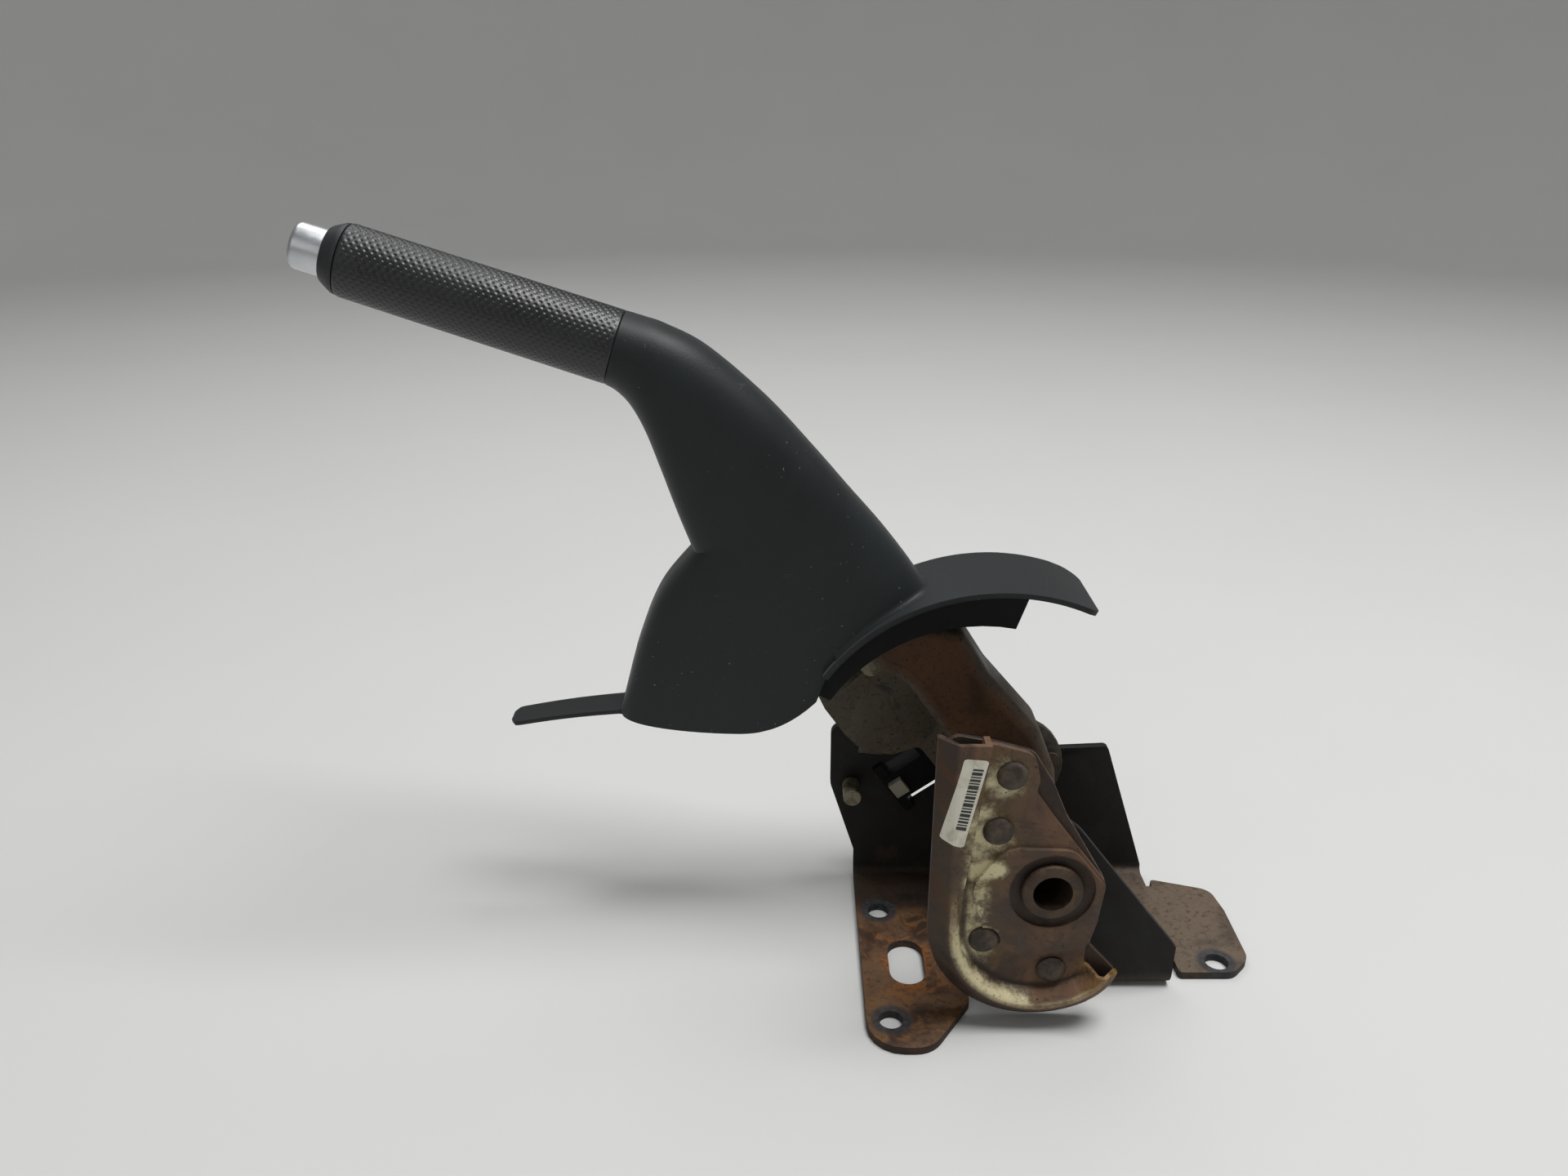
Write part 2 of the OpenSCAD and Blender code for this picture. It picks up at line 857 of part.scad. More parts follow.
module pawl_clip() {
    color("#5d5f62")
        at_pivot()
            difference() {
                bar(pawl_pt, far_y + gap + seat, far_y + 1.5 - seat, pawl_pin_d + 6);
                bar(pawl_pt, far_y, far_y + 2, pawl_pin_d - 2 + 2 * seat);
                box([pawl_pt[0] - 2.5, far_y, pawl_pt[1]], [pawl_pt[0] + 2.5, far_y + 2, pawl_pt[1] + 9]);
            }
}

// Shroud: stations down the handle as [front x, front z, back x, back z, half width, squareness]
seam_r = grip_d_rear / 2;
seam_front = grip_seat - upward * seam_r;
seam_back = grip_seat + upward * seam_r;
neck = [
    [seam_front[0], seam_front[1], seam_back[0], seam_back[1], seam_r, 2],
    [-182, 191.5, -166, 226.5, 17.4, 2.2],
    [-176.5, 179, -149.2, 216.3, 18.8, 2.7],
    [-170.5, 162, -126, 192.5, 19.8, 3.1],
    [-163.8, 142.5, -105, 168.5, 20.4, 3.3],
    [-156.8, 125.3, -88, 149, 20.9, 3.5]
];
skirt = [
    [-156.8, 125.3, -88, 149, 20.9, 3.5],
    [-172.5, 106.4, -74, 133, 21.6, 3.7],
    [-182.5, 80.5, -62, 119, 22.1, 3.8],
    [-189, 57, -54, 110, hem_half - 0.1, 3.9],
    [-193, 41, -50, 105.5, hem_half, 4]
];
// Height of the hem: a shallow belly in front, the guard's arc behind
function hem_z(x) =
    let (
        belly = 40 + 3 * pow((x + 140) / 50, 2),
        d = x - guard_c[0],
        arc = abs(d) < guard_r - 0.1 ? guard_c[1] + sqrt(guard_r * guard_r - d * d) : 0
    )
    max(belly, arc - guard_t);
// One ring of the shroud at a station s, moved in by w; k pulls it down onto the hem
function shroud_ring(s, w, k) =
    let (
        f0 = [s[0], s[1]],
        b0 = [s[2], s[3]],
        u = unit(b0 - f0),
        f = f0 + u * w,
        b = b0 - u * w,
        last = skirt[len(skirt) - 1]
    )
    [for (j = [0:43])
        let (
            a = 360 * j / 44,
            e = 2 / s[5],
            q = (1 + spow(cos(a), e)) / 2,
            p = f + (b - f) * q,
            hx = last[0] + (last[2] - last[0]) * q,
            drop = last[1] + (last[3] - last[1]) * q - hem_z(hx)
        )
        [p[0], (s[4] - w) * spow(sin(a), e), p[1] - k * drop]];
function shroud_rings(w) = concat(
    [for (t = [0:0.5:4.5]) shroud_ring(spline(neck, t), w, 0)],
    [for (t = [0:0.4:4]) shroud_ring(spline(skirt, t), w, pow(t / 4, 1.5))]
);

module shroud_guard() {
    back_x = skirt[len(skirt) - 1][2] - shroud_wall;
    tip_x = guard_c[0] + guard_r * cos(70);
    intersection() {
        difference() {
            translate([guard_c[0], guard_half, guard_c[1]])
                rotate([90, 0, 0])
                    rotate([0, 0, 62])
                        rotate_extrude(angle = 84)
                            translate([guard_r - guard_t, 0])
                                square([guard_t, 2 * guard_half]);
            box([-140, -hem_half + shroud_wall, 0], [back_x, hem_half - shroud_wall, 140]);
        }
        linear_extrude(200)
            polygon(rounded([
                [-140, -guard_half, 0],
                [tip_x, -guard_half, 9],
                [tip_x, guard_half, 9],
                [-140, guard_half, 0]
            ]));
    }
}

module shroud_rib(y, a1) {
    a0 = 96;
    taper = 12;
    r0 = guard_r - 13;
    r1 = guard_r - guard_t / 2;
    translate([guard_c[0], 0, guard_c[1]])
        slab(y, y + shroud_wall)
            polygon(concat(
                [for (a = [a0:4:a1 - taper]) polar(a, r0)],
                [for (a = [a1:-4:a0 - 7]) polar(a, r1)]
            ));
}

module shroud_tongue() {
    x1 = skirt[len(skirt) - 1][0] + shroud_wall / 2;
    x0 = x1 - tongue_len - shroud_wall / 2;
    tall = 60;
    intersection() {
        slab(-tongue_w / 2, tongue_w / 2)
            polygon(concat(
                [for (k = [0:6]) [x0 + (x1 - x0) * k / 6, 42.5 + 1.5 * k / 6 + 2 * sin(180 * k / 6)]],
                [for (k = [6:-1:0]) [x0 + (x1 - x0) * k / 6, 40 + 1.5 * k / 6 + 2 * sin(180 * k / 6)]]
            ));
        linear_extrude(tall)
            polygon(rounded([
                [x0, -tongue_w / 2, tongue_w / 2 - 1],
                [x1, -tongue_w / 2, 0],
                [x1, tongue_w / 2, 0],
                [x0, tongue_w / 2, tongue_w / 2 - 1]
            ]));
    }
}

module shroud() {
    rib_y = hem_half - 6.5;
    color("#303335")
        at_pivot() {
            skin(concat(shroud_rings(shroud_wall), [for (i = [20:-1:0]) shroud_rings(0)[i]]), true);
            shroud_guard();
            shroud_rib(-rib_y - shroud_wall, 144);
            shroud_rib(rib_y, 112);
            shroud_tongue();
        }
}

// Cable quadrant: the rim's sheet profile over its width, from the outer edge inwards
rim_band = [
    [0, 0.2 - quad_sheet],
    [0, 0.5],
    [7.5, rim_raise - 0.4],
    [9, rim_raise],
    [10.5, rim_raise]
];
rim_wall = [
    [12, rim_raise - 1.5],
    [14.6, 0],
    [rim_w, 0],
    [rim_w, -quad_sheet],
    [13.6, -quad_sheet]
];
rim_under = [
    [10.2, rim_raise - quad_sheet],
    [8, rim_raise - quad_sheet],
    [1.6, 0.2 - quad_sheet]
];
rim_profile = concat(rim_band, rim_wall, rim_under);
band_profile = concat(rim_band, rim_under);
pocket_z = 2;

// A length of profile up the straight side of the rim
module rim_side(z0, z1, profile) {
    translate([outer_x, web_y, z0])
        linear_extrude(z1 - z0)
            polygon([for (p = profile) [p[0], -p[1]]]);
}

// A turn of the rim's profile about a centre
module rim_arc(c, r, a0, a1, profile) {
    translate([c[0], web_y, c[1]])
        rotate([90, 0, 0])
            rotate([0, 0, a0])
                rotate_extrude(angle = a1 - a0)
                    polygon([for (p = profile) [r - p[0], p[1]]]);
}

// The rim's arc, its straight side, and the cable pocket that widens upwards and is open at the top
module quadrant_rim() {
    front = web_y - rim_raise;
    rim_arc(rim_c, rim_r, 180, hook_a0, rim_profile);
    // the profile runs clockwise, so a negative inset thins it
    rim_arc(hook_c, hook_r, hook_a0 - 1, hook_a1, inset(rim_profile, -hook_thin));
    rim_side(rim_c[1], pocket_z + 4, rim_profile);
    rim_side(pocket_z + 4, rim_top, band_profile);
    difference() {
        slab(front + 0.1, web_front + 0.5)
            polygon([
                [outer_x + 9, pocket_z],
                [outer_x + 13.2, pocket_z],
                [outer_x + 21, rim_top],
                [outer_x + 9, rim_top]
            ]);
        slab(front + quad_sheet, web_front + 1)
            polygon([
                [outer_x + 5, pocket_z - 1],
                [outer_x + 10.7, pocket_z - 1],
                [outer_x + 18.5, rim_top + 1],
                [outer_x + 5, rim_top + 1]
            ]);
    }
}

web_right = [
    [-28, 71, 0],
    [-12, 66.5, 7],
    [-9, 54, 8],
    [-10.5, 49, 5],
    [0, 34, 10],
    [23.5, 3, 8],
    [21.5, -17, 10],
    [17.5, -30, 4],
    [17.6, -37, 0]
];
web_outline = concat(
    rounded(web_right),
    [for (a = [hook_a1 - 3:-6:hook_a0]) hook_c + polar(a, hook_r - rim_w + 1)],
    [for (a = [hook_a0 - 4:-6:180]) rim_c + polar(a, rim_r - rim_w + 1)],
    [[outer_x + rim_w - 1, pocket_z + 3], [outer_x + 12.6, pocket_z + 3.5], [outer_x + 19.6, rim_top - 3]]
);
back_right = [
    [-28, 71, 0],
    [-12, 66.5, 7],
    [-3, 52, 10],
    [4, 36, 10],
    [23.5, 3, 8],
    [20, -31, 0]
];
back_outline = concat(
    rounded(back_right),
    [for (a = [hook_a1 - 2:-6:hook_a0]) hook_c + polar(a, hook_r - 0.6)],
    [for (a = [hook_a0 - 4:-6:180]) rim_c + polar(a, rim_r - 0.6)],
    rounded([
        [outer_x + 0.6, 0, 0],
        [outer_x + 4.6, rim_top, 5],
        [-28, rim_top - 4, 0]
    ])
);
plateau = [
    [22.4, 3, 6],
    [8, 21, 10],
    [-22, 22, 14],
    [-35, 2, 12],
    [-27, -24, 14],
    [-12, -34, 10],
    [17.5, -30, 6],
    [20.6, -17, 10]
];

module quadrant_cuts() {
    bar([0, 0], web_y - 20, quad_back + 1, pivot_od + 2 * seat);
    for (p = rivet_pts)
        bar(p, web_y - 20, quad_back + 1, rivet_shank);
}

module quadrant_outer_plate() {
    dish_d = collar_d + 10;
    color("#7a5a3e")
        at_pivot()
            difference() {
                union() {
                    slab(web_front, quad_mid - 0.2)
                        polygon(web_outline);
                    difference() {
                        slab(web_y - 1.8, web_front + 0.5)
                            polygon(rounded(plateau));
                        bar([0, 0], web_y - 5, web_front + 1, dish_d);
                        for (p = rivet_pts)
                            bar(p, web_y - 5, web_front + 1, rivet_head + 1.5);
                    }
                    quadrant_rim();
                }
                quadrant_cuts();
            }
}

module quadrant_inner_plate() {
    color("#5f4a39")
        at_pivot()
            difference() {
                slab(quad_mid, quad_back)
                    polygon(back_outline);
                quadrant_cuts();
            }
}

module quadrant_rivets() {
    color("#4d4a47")
        at_pivot()
            for (p = rivet_pts) {
                translate([p[0], web_front - seat, p[1]])
                    rotate([90, 0, 0])
                        rotate_extrude()
                            polygon([
                                [0, 0],
                                [rivet_head / 2, 0],
                                [rivet_head / 2, 1],
                                [rivet_head / 2 - 1.2, 2.2],
                                [rivet_head / 4, 2.9],
                                [0, 3.1]
                            ]);
                bar(p, web_front - seat, quad_back + seat, rivet_shank - 2 * seat);
                bar(p, quad_back + seat, quad_back + 2.2, rivet_head - 2);
            }
}

base_bracket();
pivot_bush_near();
pivot_bush_far();
ratchet_sector();
ratchet_rivets();
stop_pin();
switch_housing();
switch_terminals();
plunger_spring();
switch_plunger();
pivot_tube();
spacer_sleeve();
pivot_washers();
retaining_ring();
arm_far_plate();
arm_near_shell();
handle_tube();
grip_sleeve();
grip_collar();
shroud();
quadrant_outer_plate();
quadrant_inner_plate();
quadrant_rivets();
pawl_pin();
pawl_clip();
pawl();
release_button();
release_rod();
spring_seat();
button_spring();
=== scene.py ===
"""Looks of the parking brake lever.

Materials for the CAD nodes, the dimpled grip cover, the moulded shroud, coils for the springs, a
blank label, and the floor, the light and the camera.
"""

import json
import math

import bmesh
import bpy
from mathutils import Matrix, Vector


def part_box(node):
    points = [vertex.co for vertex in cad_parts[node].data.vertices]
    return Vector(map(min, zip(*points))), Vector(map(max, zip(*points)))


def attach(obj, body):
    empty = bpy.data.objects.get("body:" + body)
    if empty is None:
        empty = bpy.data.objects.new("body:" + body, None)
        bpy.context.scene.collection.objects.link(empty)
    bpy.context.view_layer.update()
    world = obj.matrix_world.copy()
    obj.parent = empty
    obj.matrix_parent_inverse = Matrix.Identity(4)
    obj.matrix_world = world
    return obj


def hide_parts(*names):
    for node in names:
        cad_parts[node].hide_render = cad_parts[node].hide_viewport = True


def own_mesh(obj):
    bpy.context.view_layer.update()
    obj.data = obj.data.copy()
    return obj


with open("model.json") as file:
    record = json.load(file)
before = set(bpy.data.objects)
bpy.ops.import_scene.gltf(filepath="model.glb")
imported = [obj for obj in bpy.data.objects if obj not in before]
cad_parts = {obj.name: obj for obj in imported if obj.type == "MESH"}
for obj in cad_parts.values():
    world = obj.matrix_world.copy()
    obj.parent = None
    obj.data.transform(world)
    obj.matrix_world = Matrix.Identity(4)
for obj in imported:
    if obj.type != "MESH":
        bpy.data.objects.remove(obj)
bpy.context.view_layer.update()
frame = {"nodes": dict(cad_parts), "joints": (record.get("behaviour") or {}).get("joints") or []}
nodes = frame["nodes"]

# Places taken from the part, in metres
PIVOT_Z = 0.0715
PIVOT_BORE_R = 0.0085
GRIP_SEAT = Vector((-0.1869, 0, 0.2872))
GRIP_LENGTH = 0.117
GRIP_REAR_R = 0.0163
GRIP_FRONT_R = 0.0155
GRIP_BORE_R = 0.01102
QUADRANT_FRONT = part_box("quadrant_outer_plate")[0].y
QUADRANT_OUTER_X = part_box("quadrant_outer_plate")[0].x
RIM_RISE = 0.008
RIM_CENTRE = (-0.0035, 0.054)
BOLT_HOLES = [(-0.067, -0.01408), (-0.067, -0.09108), (0.092, -0.05258)]
SLOT = (-0.0565, -0.05258)
RIVETS = [(-0.021, 0.1285), (-0.025, 0.1015), (-0.0277, 0.0457), (0.0031, 0.0293)]
STAIN_SHIFT = (-0.0035, -0.002)
STAINS = [(x + STAIN_SHIFT[0], z + STAIN_SHIFT[1]) for x, z in RIVETS[:3]]
PATCH = [(-0.0345 + 0.003 * k, 0.0810 + 0.0006 * k) for k in range(4)]
WEB_STAIN = [(-0.033, 0.050 + 0.010 * k) for k in range(7)]
HOOK = (0.026, 0.028)

# Directions of the grip
BUTTON_AXIS = next(j for j in frame["joints"] if j["name"] == "button_press")["axis"]
GRIP_ALONG = -Vector(BUTTON_AXIS).normalized()
GRIP_UP = Vector((GRIP_ALONG.z, 0, -GRIP_ALONG.x))
GRIP_SIDE = Vector((0, 1, 0))

# Camera of the photograph
CAMERA_PLACE = (-0.115, -0.505, 0.385)
CAMERA_TILT = math.radians(67.5)
CAMERA_SENSOR = 36
CAMERA_LENS = 27.04


def make_camera():
    data = bpy.data.cameras.new("camera")
    data.sensor_width = CAMERA_SENSOR
    data.lens = CAMERA_LENS
    data.clip_start = 0.01
    camera = bpy.data.objects.new("camera", data)
    camera.location = CAMERA_PLACE
    camera.rotation_euler = (CAMERA_TILT, 0, 0)
    bpy.context.scene.collection.objects.link(camera)
    bpy.context.scene.camera = camera


# Material building blocks
def linear(code):
    """Linear colour with alpha from a hex code as seen on screen."""
    parts = [int(code[i:i + 2], 16) / 255 for i in (1, 3, 5)]
    return [c / 12.92 if c <= 0.04045 else ((c + 0.055) / 1.055) ** 2.4 for c in parts] + [1]


class Shade:
    """One procedural material, built node by node in the row frame."""

    def __init__(self, name, roughness=0.5, metallic=0.0):
        self.material = bpy.data.materials.new(name)
        self.material.use_nodes = True
        self.tree = self.material.node_tree
        self.shader = self.tree.nodes["Principled BSDF"]
        self.set("Roughness", roughness)
        self.set("Metallic", metallic)
        self.place = self.node("ShaderNodeTexCoord").outputs["Object"]

    def node(self, kind, **values):
        made = self.tree.nodes.new(kind)
        for key, value in values.items():
            setattr(made, key, value)
        return made

    def put(self, socket, value):
        if isinstance(value, bpy.types.NodeSocket):
            self.tree.links.new(value, socket)
        elif isinstance(value, str):
            socket.default_value = linear(value)
        else:
            socket.default_value = value

    def set(self, name, value):
        self.put(self.shader.inputs[name], value)

    def stretch(self, x, y, z):
        made = self.node("ShaderNodeMapping")
        self.put(made.inputs["Vector"], self.place)
        made.inputs["Scale"].default_value = (x, y, z)
        return made.outputs["Vector"]

    def noise(self, scale, detail=4.0, rough=0.55, warp=0.0, place=None):
        made = self.node("ShaderNodeTexNoise")
        self.put(made.inputs["Vector"], place or self.place)
        made.inputs["Scale"].default_value = scale
        made.inputs["Detail"].default_value = detail
        made.inputs["Roughness"].default_value = rough
        made.inputs["Distortion"].default_value = warp
        return made.outputs["Fac"]

    def cells(self, scale):
        made = self.node("ShaderNodeTexVoronoi")
        self.put(made.inputs["Vector"], self.place)
        made.inputs["Scale"].default_value = scale
        return made.outputs["Distance"]

    def span(self, value, low, high, start=0.0, end=1.0):
        """Value rising smoothly from start to end between low and high."""
        made = self.node("ShaderNodeMapRange", interpolation_type="SMOOTHSTEP")
        self.put(made.inputs["Value"], value)
        made.inputs["From Min"].default_value = low
        made.inputs["From Max"].default_value = high
        made.inputs["To Min"].default_value = start
        made.inputs["To Max"].default_value = end
        return made.outputs["Result"]

    def math(self, kind, a, b):
        made = self.node("ShaderNodeMath", operation=kind)
        self.put(made.inputs[0], a)
        self.put(made.inputs[1], b)
        return made.outputs[0]

    def mix(self, share, a, b):
        made = self.node("ShaderNodeMix", data_type="RGBA")
        self.put(made.inputs["Factor"], share)
        self.put(made.inputs[6], a)
        self.put(made.inputs[7], b)
        return made.outputs[2]

    def axis(self, name):
        made = self.node("ShaderNodeSeparateXYZ")
        self.put(made.inputs[0], self.place)
        return made.outputs[name]

    def facing(self, name):
        """Part of the surface's direction along an axis."""
        made = self.node("ShaderNodeSeparateXYZ")
        self.put(made.inputs[0], self.node("ShaderNodeNewGeometry").outputs["Normal"])
        return made.outputs[name]

    def near(self, points, radius, plane="XZ"):
        """Nearness to the points in a plane: 1 at a point and 0 at the radius."""
        best = None
        for u, v in points:
            du = self.math("SUBTRACT", self.axis(plane[0]), u)
            dv = self.math("SUBTRACT", self.axis(plane[1]), v)
            square = self.math("ADD", self.math("MULTIPLY", du, du), self.math("MULTIPLY", dv, dv))
            away = self.math("DIVIDE", self.math("SQRT", square, 0.5), radius)
            best = away if best is None else self.math("MINIMUM", best, away)
        return self.span(best, 1.0, 0.0)

    def bump(self, height, distance, strength=1.0):
        made = self.node("ShaderNodeBump")
        made.inputs["Strength"].default_value = strength
        made.inputs["Distance"].default_value = distance
        self.put(made.inputs["Height"], height)
        earlier = self.shader.inputs["Normal"]
        if earlier.is_linked:
            self.put(made.inputs["Normal"], earlier.links[0].from_socket)
        self.put(earlier, made.outputs["Normal"])


def worn_black():
    """Black paint on the walls, rust on the feet, and dark rings under the bolt heads."""
    s = Shade("worn_black")
    coarse = s.noise(35, 8, 0.62, 0.6)
    fine = s.noise(420, 5, 0.6)
    paint = s.mix(s.span(coarse, 0.42, 0.7), "#0d0b0a", "#1f1915")
    blotch = s.noise(90, 6, 0.65, 1.2)
    left = s.mix(s.span(coarse, 0.36, 0.62), "#38271b", "#6b4f38")
    left = s.mix(s.span(blotch, 0.46, 0.62, 0, 0.5), left, "#7d5a33")
    slot = s.near([SLOT], 0.034, "XY")
    left = s.mix(s.math("MULTIPLY", slot, s.span(blotch, 0.42, 0.62)), left, "#8d5222")
    right = s.mix(s.span(coarse, 0.36, 0.62), "#4b3f35", "#6c5d4e")
    rust = s.mix(s.span(s.axis("X"), 0.01, 0.05), left, right)
    rust = s.mix(s.span(fine, 0.48, 0.76, 0, 0.7), rust, "#2a1e17")
    low = s.span(s.math("ADD", s.axis("Z"), s.math("MULTIPLY", coarse, 0.012)), 0.017, 0.009)
    low = s.math("MULTIPLY", low, s.span(s.facing("Z"), 0.2, 0.7, 0.3, 1.0))
    bend = s.math("ADD", s.axis("Y"), s.math("MULTIPLY", blotch, 0.02))
    bend = s.math("MULTIPLY", s.span(bend, -0.008, 0.004), s.span(s.axis("X"), 0.0, -0.03))
    low = s.math("MULTIPLY", low, s.math("SUBTRACT", 1.0, s.math("MULTIPLY", bend, 0.8)))
    patch = s.math("MULTIPLY", s.span(s.noise(14, 6, 0.6, 0.4), 0.6, 0.76), 0.45)
    share = s.math("MAXIMUM", low, patch)
    ring = s.span(s.near(BOLT_HOLES, 0.0125, "XY"), 0.06, 0.3)
    ring = s.math("MULTIPLY", s.math("MULTIPLY", ring, 0.8), s.span(s.axis("Z"), 0.012, 0.006))
    colour = s.mix(share, paint, rust)
    colour = s.mix(ring, colour, s.mix(s.span(fine, 0.4, 0.7), "#23272c", "#3d4248"))
    s.set("Base Color", colour)
    s.set("Roughness", s.span(coarse, 0.3, 0.7, 0.55, 0.82))
    s.set("Specular IOR Level", 0.3)
    s.bump(fine, 0.0003, 0.5)
    s.bump(s.math("MULTIPLY", coarse, share), 0.0012, 0.5)
    return s.material


def corroded_zinc(name, bright, dull, dark, panel=None):
    """Yellowed and speckled plated steel, with a browner raised panel if its front is given; the
    panel's darker brown is partly painted shade.
    """
    s = Shade(name, metallic=0.3)
    cloud = s.noise(28, 7, 0.6, 0.7)
    grain = s.noise(520, 4, 0.65)
    colour = s.mix(s.span(cloud, 0.36, 0.64), dull, bright)
    if panel is not None:
        # Raised panel's front: browner corrosion, darkened partly as painted shade from the guard
        # above.
        face = s.span(s.axis("Y"), panel + 0.0012, panel + 0.0004)
        colour = s.mix(face, colour, s.mix(s.span(cloud, 0.36, 0.64), "#2f1c0c", "#4e3117"))
    colour = s.mix(s.span(grain, 0.54, 0.68), colour, dark)
    colour = s.mix(s.span(s.noise(60, 6, 0.7, 1.0), 0.58, 0.68), colour, dark)
    s.set("Base Color", colour)
    s.set("Roughness", s.span(cloud, 0.3, 0.7, 0.42, 0.72))
    s.bump(grain, 0.00025, 0.45)
    return s.material


def rim_depth(s):
    """Distance from the rim's centre: all round below it, and sideways above it."""
    across = s.math("SUBTRACT", s.axis("X"), RIM_CENTRE[0])
    below = s.math("MINIMUM", s.math("SUBTRACT", s.axis("Z"), RIM_CENTRE[1]), 0.0)
    square = s.math("ADD", s.math("MULTIPLY", across, across), s.math("MULTIPLY", below, below))
    return s.math("SQRT", square, 0.5)


def rusted_plate():
    """Rust-brown pressing with pale corrosion round the rivets and inside the rim, painted light on
    the rim's lower inner wall, a painted highlight with wear on its lower crest, and painted shade
    on its outer band and along its inner foot.
    """
    s = Shade("rusted_plate", metallic=0.15)
    cloud = s.noise(40, 8, 0.62, 0.8)
    grain = s.noise(480, 5, 0.65)
    blotch = s.math("MULTIPLY", s.noise(130, 8, 0.7, 0.2), 0.65)
    blotch = s.math("ADD", blotch, s.math("MULTIPLY", grain, 0.35))
    colour = s.mix(s.span(cloud, 0.34, 0.66), "#38271c", "#684d39")
    colour = s.mix(s.span(s.noise(70, 6, 0.65, 1.0), 0.54, 0.68), colour, "#43372b")
    depth = rim_depth(s)
    # Outer band of the rim darker: painted shade, as if it faced away from the light.
    outside = s.mix(s.span(cloud, 0.36, 0.66), "#26180f", "#47301f")
    colour = s.mix(s.span(depth, 0.0405, 0.0425), colour, outside)
    # Pale on the rim's lower inner wall: partly pale corrosion, partly painted light where the wall
    # faces up.
    inside = s.math("MULTIPLY", s.span(depth, 0.033, 0.037), s.span(depth, 0.041, 0.0385))
    inside = s.math("MULTIPLY", inside, s.span(s.axis("X"), 0.006, -0.016))
    inside = s.math("MULTIPLY", inside, s.span(s.axis("Z"), 0.074, 0.046))
    pale = 0.0
    for share, weight in (
        (s.near(STAINS, 0.0175), 0.46),
        (s.near(WEB_STAIN, 0.014), 0.34),
        (s.near(PATCH, 0.009), 0.55),
        (inside, 0.42),
    ):
        stain = s.math("ADD", s.math("MULTIPLY", share, weight), blotch)
        pale = s.math("MAXIMUM", pale, s.span(stain, 0.55, 0.94))
    pale = s.math("MULTIPLY", pale, s.span(s.axis("Y"), -0.0825, -0.0845))
    olive = s.near(WEB_STAIN + STAINS, 0.022)
    olive = s.math("MULTIPLY", olive, s.span(cloud, 0.3, 0.6, 0.15, 0.75))
    colour = s.mix(olive, colour, "#584a2c")
    colour = s.mix(pale, colour, s.mix(pale, "#5d4c2f", "#cfc49e"))
    # Pale line on the rim's lower crest: partly worn metal, partly a painted highlight.
    crest_wear_and_highlight = s.math("MULTIPLY", s.span(depth, 0.0372, 0.0384), s.span(depth, 0.0412, 0.04))
    crest_wear_and_highlight = s.math("MULTIPLY", crest_wear_and_highlight, s.span(blotch, 0.4, 0.6, 0.15, 0.7))
    colour = s.mix(s.math("MULTIPLY", crest_wear_and_highlight, s.span(s.axis("Z"), 0.08, 0.06)), colour, "#b3a582")
    # Dark line along the rim's inner foot: painted shade in the corner between the rim and the web.
    rim_foot_shade = s.math("MULTIPLY", s.span(depth, 0.0312, 0.0335), s.span(depth, 0.0352, 0.034))
    rim_foot_shade = s.math("MULTIPLY", s.math("MULTIPLY", rim_foot_shade, 0.75), s.span(s.axis("Z"), 0.095, 0.08))
    colour = s.mix(rim_foot_shade, colour, "#1a120c")
    dish = s.span(s.near([(0, PIVOT_Z)], 0.022), 0.02, 0.12)
    colour = s.mix(s.math("MULTIPLY", dish, 0.75), colour, "#1b140f")
    hook = s.math("MULTIPLY", s.near([HOOK], 0.017), s.span(blotch, 0.42, 0.6))
    colour = s.mix(hook, colour, "#8f6a30")
    colour = s.mix(s.span(grain, 0.58, 0.72), colour, "#211812")
    s.set("Base Color", colour)
    s.set("Roughness", s.span(cloud, 0.3, 0.7, 0.46, 0.8))
    s.bump(grain, 0.0003, 0.55)
    s.bump(blotch, 0.0008, 0.45)
    return s.material


def plain_metal(name, bright, dark, roughness, metallic=0.85, scale=60, bore=0.0):
    """Stained metal with a fine grain, darker inside the pivot's bore if its radius is given."""
    s = Shade(name, metallic=metallic)
    cloud = s.noise(scale, 7, 0.62, 0.5)
    grain = s.noise(700, 3, 0.6)
    colour = s.mix(s.span(cloud, 0.36, 0.64), dark, bright)
    colour = s.mix(s.span(grain, 0.58, 0.72), colour, dark)
    if bore:
        # Darker inside the bore's radius.
        bore_dark = s.span(s.near([(0, PIVOT_Z)], bore * 1.06), 0.0, 0.02)
        colour = s.mix(bore_dark, colour, "#080605")
    s.set("Base Color", colour)
    s.set("Roughness", s.span(cloud, 0.3, 0.7, roughness - 0.08, roughness + 0.14))
    s.bump(grain, 0.0002, 0.35)
    return s.material


def satin_alloy():
    """Turned aluminium button with fine rings round its axis."""
    s = Shade("satin_alloy", metallic=1.0)
    streak = s.noise(900, 2, 0.5, place=s.stretch(0.25, 1, 1))
    cloud = s.noise(30, 4, 0.6)
    s.set("Base Color", s.mix(s.span(cloud, 0.35, 0.65), "#c3c6c8", "#d0d2d4"))
    s.set("Roughness", s.span(streak, 0.3, 0.7, 0.3, 0.36))
    s.bump(streak, 0.00002, 0.2)
    return s.material


